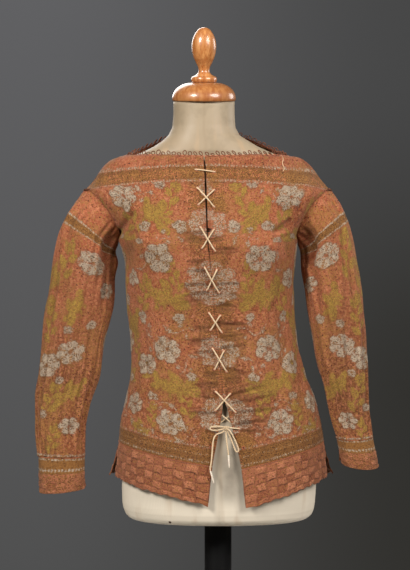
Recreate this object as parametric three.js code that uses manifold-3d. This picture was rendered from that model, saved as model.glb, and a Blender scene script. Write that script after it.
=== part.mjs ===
// A knitted silk waistcoat with long sleeves, laced down the front, on a limbless dress form.
// Millimetres, +Z up, the front faces -Y, and the origin is the middle of the base's underside.
// "right" and "left" are the wearer's, so the right side lies at -X.
import * as THREE from 'three';
import Module from 'manifold-3d';
import { mergeVertices } from 'three/addons/utils/BufferGeometryUtils.js';

// ---------------------------------------------------------------- driving dimensions
const CLOTH = 2; // thickness of the knitted cloth
const SEAM_GAP = 0.4; // between two pieces that are sewn together
const TOUCH_GAP = 0.3; // between two pieces that lie on each other

// The body of the garment, hem to neckline. side, front and back are the heights of a level at the
// side seam, centre front and centre back; right and left are the side seams' places across; fore
// and aft are how far the cloth stands before and behind the plane of the side seams; round is the
// superellipse exponent of the level section.
const LEVELS = [
  { at: 'hem edge', side: 284, front: 245, back: 262, right: -176, left: 187, fore: 125, aft: 136, round: 2.3 },
  { at: 'welt top', side: 344, front: 311, back: 323, right: -173, left: 184, fore: 123, aft: 133, round: 2.3 },
  { at: 'hip', side: 382, front: 354, back: 367, right: -169, left: 178, fore: 121, aft: 128, round: 2.3 },
  { at: 'high hip', side: 422, front: 406, back: 412, right: -160, left: 168, fore: 115, aft: 119, round: 2.3 },
  { at: 'low waist', side: 464, front: 458, back: 460, right: -152, left: 150, fore: 108, aft: 110, round: 2.3 },
  { at: 'waist', side: 510, front: 508, back: 509, right: -152, left: 139, fore: 104, aft: 102, round: 2.3 },
  { at: 'ribs', side: 562, front: 562, back: 562, right: -157, left: 134, fore: 105, aft: 97, round: 2.3 },
  { at: 'midriff', side: 615, front: 615, back: 615, right: -161, left: 131, fore: 111, aft: 95, round: 2.35 },
  { at: 'bust', side: 657, front: 657, back: 659, right: -162, left: 135, fore: 117, aft: 96, round: 2.5 },
  { at: 'underarm', side: 694, front: 697, back: 702, right: -173, left: 138, fore: 117, aft: 98, round: 2.8 },
  { at: 'shoulder', side: 780, front: 796, back: 812, right: -234, left: 198, fore: 95, aft: 92, round: 1.75 },
  { at: 'neckline', side: 840, front: 834, back: 892, right: -159, left: 121, fore: 74, aft: 60, round: 1.9 },
];
const HEM = 0;
const WELT_TOP = 1;
const UNDERARM = 9;
const SHOULDER = 10;
const NECKLINE = 11;
const RISE_FRONT = 1.2; // how a front level climbs from the centre to the side
const RISE_BACK = 1.7; // and a back level
const RIDGE_BULGE = 13; // how far the shoulder seam stands up from a straight line
const CORNER_FADE = 0.6; // levels over which a corner of the side outline is rounded off at the front

// The two front edges, as places across at a level: closed down to the high hip, then parting, with
// the left one hanging lower by leftDrop.
const FRONT_EDGES = [
  { level: 0, right: -18, left: 45.5, leftDrop: 8 },
  { level: 1, right: -10.5, left: 38, leftDrop: 7 },
  { level: 2, right: -2.5, left: 28.5, leftDrop: 3 },
  { level: 3, right: 6, left: 15.5, leftDrop: 1 },
  { level: 3.35, right: 7.4, left: 8.9, leftDrop: 0 },
  { level: 4, right: 4.6, left: 5.3, leftDrop: 0 },
  { level: 5, right: -1.1, left: -0.4, leftDrop: 0 },
  { level: 6, right: -6.6, left: -5.9, leftDrop: 0 },
  { level: 7, right: -10.7, left: -9.9, leftDrop: 0 },
  { level: 8, right: -15.4, left: -14.3, leftDrop: 0 },
  { level: 9, right: -19.7, left: -17.4, leftDrop: 0 },
  { level: 10, right: -23.8, left: -20.6, leftDrop: 0 },
  { level: 11, right: -25.1, left: -23.4, leftDrop: 0 },
];

// The armhole is a ring from the shoulder point to the underarm, deep front to back, and its
// seam bows in towards the neck half way down.
const ARMHOLE_HALF_DEPTH = 46;
const ARMHOLE_BOW = 15;
const ARMHOLE_STEPS = 10; // from underarm to shoulder

// The sleeves: a row for each ring down the arm, after the armhole. outer and inner are the ring's
// places across, with their heights; set is how far the ring lies before the side seams' plane, and
// dip is how much lower its front hangs.
const SLEEVE_RIGHT = [
  { at: 'sleeve head', outer: -261, outerZ: 743, inner: -179, innerZ: 676, set: 0, halfDepth: 47, dip: 0 },
  { at: 'upper arm', outer: -278, outerZ: 703, inner: -176, innerZ: 653, set: 2, halfDepth: 46, dip: 0 },
  { at: 'mid arm', outer: -289, outerZ: 650, inner: -178, innerZ: 624, set: 5, halfDepth: 44, dip: 0 },
  { at: 'low arm', outer: -297, outerZ: 589, inner: -183, innerZ: 582, set: 9, halfDepth: 42, dip: 0 },
  { at: 'elbow', outer: -305, outerZ: 528, inner: -197, innerZ: 528, set: 13, halfDepth: 39, dip: 0 },
  { at: 'forearm', outer: -311, outerZ: 466, inner: -206, innerZ: 466, set: 17, halfDepth: 36, dip: 0 },
  { at: 'mid forearm', outer: -314, outerZ: 419, inner: -220, innerZ: 419, set: 20, halfDepth: 33, dip: 0 },
  { at: 'low forearm', outer: -314, outerZ: 372, inner: -230, innerZ: 372, set: 22, halfDepth: 30, dip: 0 },
  { at: 'cuff top', outer: -311, outerZ: 320, inner: -231, innerZ: 319, set: 24, halfDepth: 27, dip: 1 },
  { at: 'cuff edge', outer: -309, outerZ: 257, inner: -231, innerZ: 264, set: 25, halfDepth: 26, dip: 2 },
];
const SLEEVE_LEFT = [
  { at: 'sleeve head', outer: 219, outerZ: 743, inner: 145, innerZ: 677, set: 0, halfDepth: 47, dip: 0 },
  { at: 'upper arm', outer: 233, outerZ: 703, inner: 144, innerZ: 653, set: 2, halfDepth: 46, dip: 0 },
  { at: 'mid arm', outer: 244, outerZ: 650, inner: 148, innerZ: 624, set: 5, halfDepth: 44, dip: 0 },
  { at: 'low arm', outer: 253, outerZ: 589, inner: 154, innerZ: 582, set: 9, halfDepth: 42, dip: 0 },
  { at: 'elbow', outer: 258, outerZ: 528, inner: 163, innerZ: 528, set: 13, halfDepth: 39, dip: 0 },
  { at: 'forearm', outer: 260, outerZ: 474, inner: 173, innerZ: 474, set: 17, halfDepth: 36, dip: 0 },
  { at: 'mid forearm', outer: 260, outerZ: 430, inner: 186, innerZ: 430, set: 20, halfDepth: 33, dip: 1 },
  { at: 'low forearm', outer: 261, outerZ: 391, inner: 195, innerZ: 390, set: 22, halfDepth: 30, dip: 2 },
  { at: 'cuff top', outer: 267, outerZ: 354, inner: 204, innerZ: 352, set: 24, halfDepth: 27, dip: 4 },
  { at: 'cuff edge', outer: 277, outerZ: 302, inner: 213, innerZ: 308, set: 25, halfDepth: 26, dip: 6 },
];
const CUFF_TOP = 9; // ring number of the cuff's upper edge, the armhole being ring 0
const CUFF_EDGE = 10;

// Long soft troughs in the sleeves: turn is the place round the arm, 0 on the outside, 90 at the
// front and 180 against the body; from and to are ring numbers; deep is how far the cloth sinks.
const FOLDS_RIGHT = [
  { turn: 58, wide: 20, from: 1.2, to: 7.6, deep: 4.5 },
  { turn: 104, wide: 16, from: 2.6, to: 7.4, deep: 4.5 },
  { turn: 142, wide: 14, from: 0.3, to: 4.4, deep: 9 },
  { turn: 248, wide: 24, from: 1.5, to: 6.5, deep: 5 },
  { turn: 300, wide: 20, from: 3, to: 8, deep: 4 },
];
const FOLDS_LEFT = [
  { turn: 70, wide: 16, from: 1, to: 6, deep: 5.5 },
  { turn: 106, wide: 18, from: 4, to: 8.6, deep: 4.5 },
  { turn: 136, wide: 22, from: 0.1, to: 2.6, deep: 12 },
  { turn: 240, wide: 24, from: 1.5, to: 6.5, deep: 5 },
  { turn: 296, wide: 20, from: 3, to: 8, deep: 4 },
];
const FOLD_RAMP = 0.8; // rings over which a fold comes and goes

// The basket-knit welts at hem and cuffs: raised blocks over a plain inside.
const BLOCK_WIDTH = 14.5;
const BLOCK_RISE = 1.3;
const HEM_BLOCK_ROWS = 5;
const WELT_PLAIN_FROM = 0.95; // the level above which the hem welt is plain
const CUFF_BLOCK_ROWS = 3;
const CUFF_BAND = 0.42; // the share of a cuff that is plain band, above the blocks
const CUFF_VENT = { turn: 206, gap: 4, flare: 9, reach: 60 };
const VENT_HALF_GAP = 2; // the side vents of the hem welt
const VENT_FLARE_BACK = 15; // how far the back welt's corner stands out at a vent
const VENT_FLARE_FRONT = 4;

// The lacing: a round silk lace through a row of eyelets beside each front edge.
const LACE_RADIUS = 1.2;
const EYELET_RADIUS = 1.75;
const EYELET_DROP_LEFT = 4; // how far the left column sits below the right one
const EYELETS = [
  { z: 810, setIn: 12.5 },
  { z: 779, setIn: 12 },
  { z: 750.5, setIn: 11 },
  { z: 711, setIn: 9.5 },
  { z: 676.6, setIn: 9.5 },
  { z: 644, setIn: 9 },
  { z: 607, setIn: 9 },
  { z: 568, setIn: 8.5 },
  { z: 540, setIn: 8.5 },
  { z: 508, setIn: 8.5 },
  { z: 474, setIn: 9 },
  { z: 436, setIn: 11 },
  { z: 405.5, setIn: 10.5 },
  { z: 376.5, setIn: 9.5 },
];
const SPARE_EYELET = { z: 343, setIn: 9 }; // a last pair that the lace leaves empty
const STRAND_STEP = 2 * LACE_RADIUS + 3 * TOUCH_GAP; // between two strands that cross

// The dress form: a papier-mache body with a wooden neck cap and a turned knob, on a short pole.
const FORM_LEVELS = [
  { z: 207, right: -137, left: 140, fore: 84, aft: 92 },
  { z: 210, right: -151, left: 154, fore: 97, aft: 106 },
  { z: 218, right: -161, left: 164, fore: 106, aft: 115 },
  { z: 237, right: -167, left: 169, fore: 111, aft: 121 },
  { z: 300, right: -167, left: 171, fore: 113, aft: 124 },
  { z: 350, right: -165, left: 172, fore: 112, aft: 121 },
  { z: 400, right: -156, left: 163, fore: 104.5, aft: 112 },
  { z: 455, right: -143, left: 141, fore: 96.5, aft: 101 },
  { z: 510, right: -141, left: 129, fore: 92, aft: 92 },
  { z: 562, right: -146, left: 124, fore: 93, aft: 87 },
  { z: 615, right: -150, left: 121, fore: 99, aft: 85 },
  { z: 657, right: -152, left: 125, fore: 105, aft: 86 },
  { z: 697, right: -154, left: 127, fore: 106, aft: 88 },
  { z: 740, right: -158, left: 130, fore: 99, aft: 88 },
  { z: 780, right: -167, left: 131, fore: 86, aft: 84 },
  { z: 806, right: -170, left: 129, fore: 74.5, aft: 78 },
  { z: 824, right: -171, left: 130, fore: 67, aft: 71 },
  { z: 835.2, right: -168, left: 130, fore: 54.8, aft: 66 },
  { z: 837.1, right: -159.5, left: 121.2, fore: 55, aft: 65 },
  { z: 846, right: -134, left: 93, fore: 57.5, aft: 61 },
  { z: 856, right: -113, left: 71, fore: 56.5, aft: 56 },
  { z: 866, right: -98, left: 54, fore: 55, aft: 51 },
  { z: 876, right: -87, left: 38, fore: 54, aft: 48 },
  { z: 890, right: -80, left: 30.5, fore: 53, aft: 46 },
  { z: 912, right: -78, left: 29, fore: 52.5, aft: 45 },
  { z: 936, right: -78, left: 29, fore: 52.5, aft: 45 },
];
const FORM_ROUNDNESS = 2.2; // superellipse exponent of its level sections
const NECK = { x: -24.5, y: -3.5, z: 936, slopeFrom: 880, tilt: 8 }; // the neck's top, sloping forward
const CAP = { radius: 55.5, rim: 5, height: 32, topRadius: 20 };
const KNOB_TURNING = [
  { h: 0, r: 20.5 }, { h: 2.5, r: 22 }, { h: 6, r: 22.4 }, { h: 9.5, r: 21 }, { h: 12, r: 16 },
  { h: 16, r: 11 }, { h: 21, r: 9.4 }, { h: 27, r: 10.6 }, { h: 35, r: 14.6 }, { h: 46, r: 19 },
  { h: 59, r: 21.2 }, { h: 70, r: 20.6 }, { h: 80, r: 17.6 }, { h: 88, r: 12.8 }, { h: 93, r: 7.4 },
];
const KNOB_HEIGHT = 95;
const POLE = { radius: 23.5, sides: 24 };
const BASE = { radius: 150, height: 16, edge: 3, sides: 40 };

// ---------------------------------------------------------------- small mathematics
const vec = (x, y, z) => new THREE.Vector3(x, y, z);
const radians = THREE.MathUtils.degToRad;
const lerp = THREE.MathUtils.lerp;
const range = (count, from, to) => Array.from({ length: count + 1 }, (_, k) => lerp(from, to, k / count));
const smooth = (low, high, value) => (low < high
  ? THREE.MathUtils.smoothstep(value, low, high)
  : 1 - THREE.MathUtils.smoothstep(value, high, low));

// A value from a table's column at a fractional row, on one smooth curve through the rows.
function column(rows, name, at) {
  const last = rows.length - 1;
  const i = Math.min(last - 1, Math.max(0, Math.floor(at)));
  const t = at - i;
  const [a, b, c, d] = [i - 1, i, i + 1, i + 2].map((k) => rows[Math.min(last, Math.max(0, k))][name]);
  const [fromB, toC] = [(c - a) / 2, (d - b) / 2];
  const t2 = t * t;
  const t3 = t2 * t;
  return b * (2 * t3 - 3 * t2 + 1) + fromB * (t3 - 2 * t2 + t) + c * (3 * t2 - 2 * t3) + toC * (t3 - t2);
}

// The fractional row of a table at which a rising column has a value.
function rowAt(rows, name, value) {
  let [low, high] = [0, rows.length - 1];
  for (let k = 0; k < 24; k += 1) {
    const guess = (low + high) / 2;
    if (column(rows, name, guess) < value) low = guess;
    else high = guess;
  }
  return high;
}

// ---------------------------------------------------------------- the body's surface
// side is -1 for the wearer's right and 1 for the left; face is -1 for the front and 1 for the back.
const edgeName = (side) => (side < 0 ? 'right' : 'left');

function armhole(side, turn) {
  const name = edgeName(side);
  const top = vec(LEVELS[SHOULDER][name], 0, LEVELS[SHOULDER].side);
  const bottom = vec(LEVELS[UNDERARM][name], 0, LEVELS[UNDERARM].side);
  const middle = top.clone().add(bottom).multiplyScalar(0.5);
  const down = top.clone().sub(middle);
  const inward = vec(-side * down.z, 0, side * down.x).normalize();
  const [c, s] = [Math.cos(turn), Math.sin(turn)];
  const point = middle.clone().addScaledVector(down, c).addScaledVector(inward, ARMHOLE_BOW * Math.abs(s));
  point.y -= ARMHOLE_HALF_DEPTH * s;
  return { point, outward: point.clone().sub(middle).normalize() };
}

// The turn round the armhole at which a level ends, slow to leave the underarm and the shoulder.
const armholeTurn = (level) => (Math.PI * (1 + Math.cos(Math.PI * (level - UNDERARM)))) / 2;
const armholeLevel = (share) => UNDERARM + Math.acos(1 - 2 * share) / Math.PI;

// Where a level ends at the side: on the side seam, the armhole's edge or the shoulder seam.
function levelEnd(side, face, level) {
  const name = edgeName(side);
  if (level > UNDERARM && level < SHOULDER) return armhole(side, -face * armholeTurn(level)).point;
  if (level < SHOULDER) {
    const rows = LEVELS.slice(0, SHOULDER);
    return vec(column(rows, name, level), 0, column(rows, 'side', level));
  }
  const [low, high] = [LEVELS[SHOULDER], LEVELS[NECKLINE]];
  const t = level - SHOULDER;
  const along = vec(high[name] - low[name], 0, high.side - low.side);
  const up = vec(side * along.z, 0, -side * along.x).normalize();
  const bulge = RIDGE_BULGE * Math.sin(Math.PI * t ** 1.7);
  return vec(low[name], 0, low.side).addScaledVector(along, t).addScaledVector(up, bulge);
}

// The same, with its corners rounded off as they are towards the middle of the face.
function roundedEnd(side, face, level, share) {
  const reach = Math.min(CORNER_FADE * (1 - share), NECKLINE - level, level - HEM);
  if (reach <= 0) return levelEnd(side, face, level);
  const ends = range(6, level - reach, level + reach).map((at) => levelEnd(side, face, at));
  return ends.reduce((sum, end) => sum.add(end), vec(0, 0, 0)).divideScalar(ends.length);
}

// A point of the body at a level; swing is the angle from the middle of that face, in radians,
// negative towards the wearer's right, and a quarter turn at the side.
function bodyPoint(face, level, swing) {
  const side = swing < 0 ? -1 : 1;
  const reach = Math.min(Math.abs(swing), Math.PI / 2);
  const share = reach / (Math.PI / 2);
  const end = roundedEnd(side, face, level, share);
  const middle = (roundedEnd(-1, face, level, 0).x + roundedEnd(1, face, level, 0).x) / 2;
  const depth = face * column(LEVELS, face < 0 ? 'fore' : 'aft', level);
  const height = column(LEVELS, face < 0 ? 'front' : 'back', level);
  const round = column(LEVELS, 'round', level);
  const power = 2 / round;
  const full = Math.acos(Math.abs(end.y / depth) ** (round / 2));
  const angle = share * full;
  const across = Math.sin(angle) ** power / Math.sin(full) ** power;
  const least = Math.max(0, Math.cos(full)) ** power;
  const forward = (Math.max(0, Math.cos(angle)) ** power - least) / (1 - least);
  const rise = Math.min(1, across) ** (face < 0 ? RISE_FRONT : RISE_BACK);
  return vec(lerp(middle, end.x, across), lerp(end.y, depth, forward), lerp(height, end.z, rise));
}

// The swing at which a front level is a given place across.
function swingAt(level, x) {
  const side = x < bodyPoint(-1, level, 0).x ? -1 : 1;
  let [low, high] = [0, Math.PI / 2];
  for (let k = 0; k < 24; k += 1) {
    const guess = (low + high) / 2;
    if (Math.abs(bodyPoint(-1, level, side * guess).x - x) > 1e-3
      && side * (bodyPoint(-1, level, side * guess).x - x) < 0) low = guess;
    else high = guess;
  }
  return side * high;
}

const edgeAcross = (side, level) => column(FRONT_EDGES, edgeName(side), rowAt(FRONT_EDGES, 'level', level));

// A point of one front: share is 0 at the front edge and 1 at the side.
function frontPoint(side, level, share) {
  const start = swingAt(level, edgeAcross(side, level));
  const swing = lerp(start, (side * Math.PI) / 2, share);
  const point = bodyPoint(-1, level, Math.abs(swing) < 1e-9 ? side * 1e-9 : swing);
  const drop = side > 0 ? column(FRONT_EDGES, 'leftDrop', rowAt(FRONT_EDGES, 'level', level)) : 0;
  point.z -= drop * (1 - share) ** 2;
  return point;
}

// A point of the back: share is -1 at the right side and 1 at the left.
const backPoint = (level, share) => bodyPoint(1, level, (share * Math.PI) / 2 || 1e-9);

// ---------------------------------------------------------------- the sleeves' surface
function sleevePoint(side, ring, turn) {
  const rows = side < 0 ? SLEEVE_RIGHT : SLEEVE_LEFT;
  const [top, bottom] = [armhole(side, 0).point, armhole(side, Math.PI).point];
  const start = {
    outer: top.x, outerZ: top.z, inner: bottom.x, innerZ: bottom.z,
    set: 0, halfDepth: ARMHOLE_HALF_DEPTH, dip: 0,
  };
  const rings = [start, ...rows];
  const get = (name) => column(rings, name, ring);
  const [c, s] = [Math.cos(turn), Math.sin(turn)];
  const mix = (1 + c) / 2;
  const bow = ARMHOLE_BOW * Math.abs(s) * Math.max(0, 1 - ring / 1.6) ** 2;
  const point = vec(
    lerp(get('inner'), get('outer'), mix),
    -get('set') - get('halfDepth') * s,
    lerp(get('innerZ'), get('outerZ'), mix) - get('dip') * s,
  );
  const down = top.clone().sub(bottom);
  const inward = vec(-side * down.z, 0, side * down.x).normalize();
  return point.addScaledVector(inward, bow - 1.5 * SEAM_GAP);
}

function foldDepth(folds, ring, turn) {
  const degrees = THREE.MathUtils.euclideanModulo(THREE.MathUtils.radToDeg(turn), 360);
  return folds.reduce((sum, fold) => {
    const away = Math.abs(THREE.MathUtils.euclideanModulo(degrees - fold.turn + 180, 360) - 180);
    const comes = smooth(fold.from, fold.from + FOLD_RAMP, ring);
    const goes = smooth(fold.to - FOLD_RAMP, fold.to, ring);
    return sum + fold.deep * comes * (1 - goes) * Math.exp(-((away / fold.wide) ** 2));
  }, 0);
}

// ---------------------------------------------------------------- turning surfaces into walls
// The outward direction of a surface at a point, from its neighbours on a grid function.
function directionOf(surface, i, j, outwardHint) {
  const step = 0.02;
  const alongI = surface(i + step, j).sub(surface(i - step, j));
  const alongJ = surface(i, j + step).sub(surface(i, j - step));
  const normal = alongI.cross(alongJ).normalize();
  return normal.dot(outwardHint) < 0 ? normal.negate() : normal;
}

// A closed wall from a grid of outer points and a grid of inner points that keeps every stepI-th
// row and stepJ-th column of it. A ring's last column joins its first.
function wall(outer, inner, stepI = 1, stepJ = 1, ring = false) {
  const positions = [];
  const faces = [];
  const add = (grid) => grid.map((row) => row.map((p) => positions.push(p.x, p.y, p.z) / 3 - 1));
  const [out, back] = [add(outer), add(inner)];
  const columnsOf = (grid) => grid[0].length - (ring ? 0 : 1);
  const skin = (ids, flip) => {
    for (let i = 0; i < ids.length - 1; i += 1) {
      for (let j = 0; j < columnsOf(ids); j += 1) {
        const k = (j + 1) % ids[0].length;
        const [a, b, c, d] = [ids[i][j], ids[i][k], ids[i + 1][k], ids[i + 1][j]];
        if (flip) faces.push([a, c, b], [a, d, c]);
        else faces.push([a, b, c], [a, c, d]);
      }
    }
  };
  const rim = (fine, coarse, step, flip) => {
    for (let j = 0; j < coarse.length - 1; j += 1) {
      for (let k = 0; k < step; k += 1) {
        const near = coarse[k < step / 2 ? j : j + 1];
        const face = [fine[j * step + k], fine[j * step + k + 1], near];
        faces.push(flip ? face.reverse() : face);
        if (k === Math.ceil(step / 2) - 1) {
          const bridge = [fine[j * step + k + 1], coarse[j + 1], coarse[j]];
          faces.push(flip ? bridge.reverse() : bridge);
        }
      }
    }
  };
  skin(out, false);
  skin(back, true);
  const closed = (row) => (ring ? [...row, row[0]] : row);
  rim(closed(out[0]), closed(back[0]), stepJ, true);
  rim(closed(out[out.length - 1]), closed(back[back.length - 1]), stepJ, false);
  if (!ring) {
    const columnOf = (grid, j) => grid.map((row) => row[j]);
    rim(columnOf(out, 0), columnOf(back, 0), stepI, false);
    rim(columnOf(out, out[0].length - 1), columnOf(back, back[0].length - 1), stepI, true);
  }
  return facesToGeometry(positions, faces);
}

// A geometry whose faces point out, whichever way the grid ran.
function facesToGeometry(positions, faces) {
  const at = (k) => vec(positions[3 * k], positions[3 * k + 1], positions[3 * k + 2]);
  const volume = faces.reduce((sum, [a, b, c]) => sum + at(a).dot(at(b).cross(at(c))), 0);
  const geometry = new THREE.BufferGeometry();
  geometry.setAttribute('position', new THREE.Float32BufferAttribute(positions, 3));
  geometry.setIndex(faces.flatMap((face) => (volume < 0 ? [...face].reverse() : face)));
  return geometry;
}

// Moves each edge of a grid towards the next row or column, to leave a seam's gap.
function trimmed(grid, edges) {
  const towards = (p, q) => p.clone().addScaledVector(q.clone().sub(p).normalize(), SEAM_GAP / 2);
  let next = grid.map((row) => row.map((p) => p.clone()));
  const [lastI, lastJ] = [grid.length - 1, grid[0].length - 1];
  if (edges.bottom) next[0] = next[0].map((p, j) => towards(p, next[1][j]));
  if (edges.top) next[lastI] = next[lastI].map((p, j) => towards(p, next[lastI - 1][j]));
  if (edges.start) next = next.map((row) => [towards(row[0], row[1]), ...row.slice(1)]);
  if (edges.end) next = next.map((row) => [...row.slice(0, lastJ), towards(row[lastJ], row[lastJ - 1])]);
  return next;
}

const every = (grid, stepI, stepJ) => grid
  .filter((_, i) => i % stepI === 0)
  .map((row) => row.filter((_, j) => j % stepJ === 0));

// A panel of the body over given levels and shares. raise(level, share, i, j) lifts its outer
// points; loose(level, share) pushes the whole wall outwards.
function bodyPanel(point, levels, shares, edges, options = {}) {
  const { raise = () => 0, loose = () => 0, stepI = 1, stepJ = 1, face = -1 } = options;
  const middle = (levels[0] + levels[levels.length - 1]) / 2;
  const hint = (p) => vec(p.x - point(middle, 0).x * 0.3, p.y, 0).normalize().add(vec(0, 0, 0.15));
  const [outer, inner] = [[], []];
  levels.forEach((level, i) => {
    const rows = [[], []];
    shares.forEach((share, j) => {
      const base = point(level, share);
      const side = share < 0 || point(level, 1).x < 0 ? -1 : 1;
      const onArmhole = Math.abs(share) === 1 && level >= UNDERARM && level <= SHOULDER;
      const clear = Math.min(share, 0.999);
      const within = (a, b) => point(Math.min(NECKLINE, Math.max(HEM, a)), b);
      const outward = directionOf(within, level, clear, hint(base));
      if (onArmhole) {
        const turn = armholeTurn(level);
        const mitre = armhole(side, -face * turn).outward;
        outward.lerp(mitre, 1 - ((1 - Math.cos(turn)) / 2) ** 2).normalize();
      }
      const push = loose(level, share);
      rows[0].push(base.clone().addScaledVector(outward, push + raise(level, share, i, j)));
      rows[1].push(base.clone().addScaledVector(outward, push - CLOTH));
    });
    outer.push(rows[0]);
    inner.push(rows[1]);
  });
  return wall(trimmed(outer, edges), every(trimmed(inner, edges), stepI, stepJ), stepI, stepJ);
}

// ---------------------------------------------------------------- solids with manifold-3d
const wasm = await Module();
wasm.setup();

function toManifold(geometry) {
  const bare = geometry.clone();
  bare.deleteAttribute('normal');
  bare.deleteAttribute('uv');
  const merged = mergeVertices(bare, 1e-4);
  return new wasm.Manifold(new wasm.Mesh({
    numProp: 3,
    vertProperties: new Float32Array(merged.attributes.position.array),
    triVerts: new Uint32Array(merged.index.array),
  }));
}

function toGeometry(solid) {
  const mesh = solid.getMesh();
  const geometry = new THREE.BufferGeometry();
  geometry.setAttribute('position', new THREE.Float32BufferAttribute(mesh.vertProperties, 3));
  geometry.setIndex([...mesh.triVerts]);
  return geometry;
}

// ---------------------------------------------------------------- the garment's pieces
const FRONT_SHARES = range(9, 0, 1);
const BACK_SHARES = range(12, -1, 1);
const PANEL_LEVELS = [
  1, 1.6, 2.2, 2.8, 3.35, 4, 4.75, 5.5, 6.25, 7, 7.75, 8.4,
  ...range(ARMHOLE_STEPS, 0, 1).map(armholeLevel), 10.4, 10.75, NECKLINE,
];

function eyelet(side, { z, setIn }) {
  const level = rowAt(LEVELS, 'front', side > 0 ? z - EYELET_DROP_LEFT : z);
  const swing = swingAt(level, edgeAcross(side, level) + side * setIn);
  const point = bodyPoint(-1, level, swing);
  const outward = directionOf((a, b) => bodyPoint(-1, a, b), level, swing, vec(0, -1, 0));
  return { point, outward };
}

function front(side) {
  const point = (level, share) => frontPoint(side, level, share);
  const edges = { bottom: true, end: true };
  const panel = bodyPanel(point, PANEL_LEVELS, FRONT_SHARES, edges);
  const cut = [...EYELETS, SPARE_EYELET].reduce((solid, row) => {
    const { point: place, outward } = eyelet(side, row);
    const drill = new THREE.CylinderGeometry(EYELET_RADIUS, EYELET_RADIUS, 6 * CLOTH, 6);
    drill.applyQuaternion(new THREE.Quaternion().setFromUnitVectors(vec(0, 1, 0), outward));
    drill.translate(place.x, place.y, place.z);
    return solid.subtract(toManifold(drill));
  }, toManifold(panel));
  return toGeometry(cut);
}

function back() {
  const edges = { bottom: true, start: true, end: true };
  return bodyPanel(backPoint, PANEL_LEVELS, BACK_SHARES, edges, { face: 1 });
}

// The places of the near and far edge of each of a row of blocks, with narrow slopes between them.
function blockStops(count, from, to) {
  const stops = range(count, 0, 1).slice(0, count).flatMap((t) => [t + 0.12 / count, t + 0.88 / count]);
  return [from, ...stops.map((t) => lerp(from, to, t)), to];
}

// Raised blocks on alternate squares: each block has two rows and two columns of points.
const basket = (i, j, rows, columns) => {
  if (i === 0 || j === 0 || i >= rows || j === columns) return 0;
  const [row, block] = [Math.floor((i - 1) / 2), Math.floor((j - 1) / 2)];
  return (row + block) % 2 ? BLOCK_RISE : 0;
};

// The welt of a front or of the back, from share to share, with its corners flaring at the vents.
function hemWelt(point, from, to, blocks, options) {
  const levels = [...blockStops(HEM_BLOCK_ROWS, HEM, WELT_PLAIN_FROM), WELT_TOP];
  const shares = blockStops(blocks, from, to);
  const [rows, columns] = [levels.length - 1, shares.length - 1];
  return bodyPanel(point, levels, shares, { top: true }, {
    raise: (level, share, i, j) => basket(i, j, rows - 1, columns),
    loose: (level, share) => options.flare * (1 - level) ** 1.3 * smooth(0.8, 1, Math.abs(share)),
    stepI: 4,
    face: options.face,
  });
}

const ventShare = (halfWidth) => 1 - VENT_HALF_GAP / halfWidth;

function frontWelt(side) {
  const point = (level, share) => frontPoint(side, level, share);
  const blocks = 13;
  return hemWelt(point, 0, ventShare(2 * BLOCK_WIDTH * blocks), blocks, {
    flare: VENT_FLARE_FRONT, face: -1,
  });
}

function backWelt() {
  const blocks = 28;
  const end = ventShare(BLOCK_WIDTH * blocks);
  return hemWelt(backPoint, -end, end, blocks, { flare: VENT_FLARE_BACK, face: 1 });
}

// A sleeve or its cuff: rings of points, sunk along the folds, with the cuff's blocks raised.
function sleeveWall(side, rings, turns, options) {
  const { raise = () => 0, loose = () => 0, edges, stepI = 1, closed = true } = options;
  const folds = side < 0 ? FOLDS_RIGHT : FOLDS_LEFT;
  const surface = (ring, turn) => sleevePoint(side, Math.max(0, ring), turn);
  const [outer, inner] = [[], []];
  rings.forEach((ring, i) => {
    const rows = [[], []];
    turns.forEach((turn, j) => {
      const base = surface(ring, turn);
      const axis = surface(ring, 0).add(surface(ring, Math.PI)).multiplyScalar(0.5);
      const outward = ring === 0
        ? armhole(side, turn).outward
        : directionOf(surface, ring, turn, base.clone().sub(axis));
      const push = loose(ring, turn) - foldDepth(folds, ring, turn);
      rows[0].push(base.clone().addScaledVector(outward, push + raise(i, j)));
      rows[1].push(base.clone().addScaledVector(outward, push - CLOTH));
    });
    outer.push(rows[0]);
    inner.push(rows[1]);
  });
  return wall(trimmed(outer, edges), every(trimmed(inner, edges), stepI, 1), stepI, 1, closed);
}

const turnsRound = (count) => range(count, 0, 2 * Math.PI).slice(0, count);

function sleeve(side) {
  const rings = [0, 0.35, 0.7, ...range(12, 1.1, CUFF_TOP)];
  return sleeveWall(side, rings, turnsRound(2 * ARMHOLE_STEPS), { edges: { top: true } });
}

// A cuff is open at a vent on the inner side, where its back corner stands away.
function cuff(side) {
  const blocks = 14;
  const [from, to] = [CUFF_VENT.turn, CUFF_VENT.turn - 360 + CUFF_VENT.gap];
  const bandEnd = lerp(CUFF_TOP, CUFF_EDGE, CUFF_BAND);
  const rings = [CUFF_TOP, ...blockStops(CUFF_BLOCK_ROWS, bandEnd, CUFF_EDGE)];
  const degrees = blockStops(blocks, from, to);
  const [rows, columns] = [rings.length - 1, degrees.length - 1];
  const raise = (i, j) => (i < 2 ? 0 : basket(i - 1, j, rows - 1, columns));
  const loose = (ring, turn) => {
    const down = (ring - CUFF_TOP) / (CUFF_EDGE - CUFF_TOP);
    return CUFF_VENT.flare * down * smooth(to + CUFF_VENT.reach, to, THREE.MathUtils.radToDeg(turn));
  };
  return sleeveWall(side, rings, degrees.map(radians), {
    raise, loose, edges: { bottom: true }, stepI: rows, closed: false,
  });
}

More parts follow.
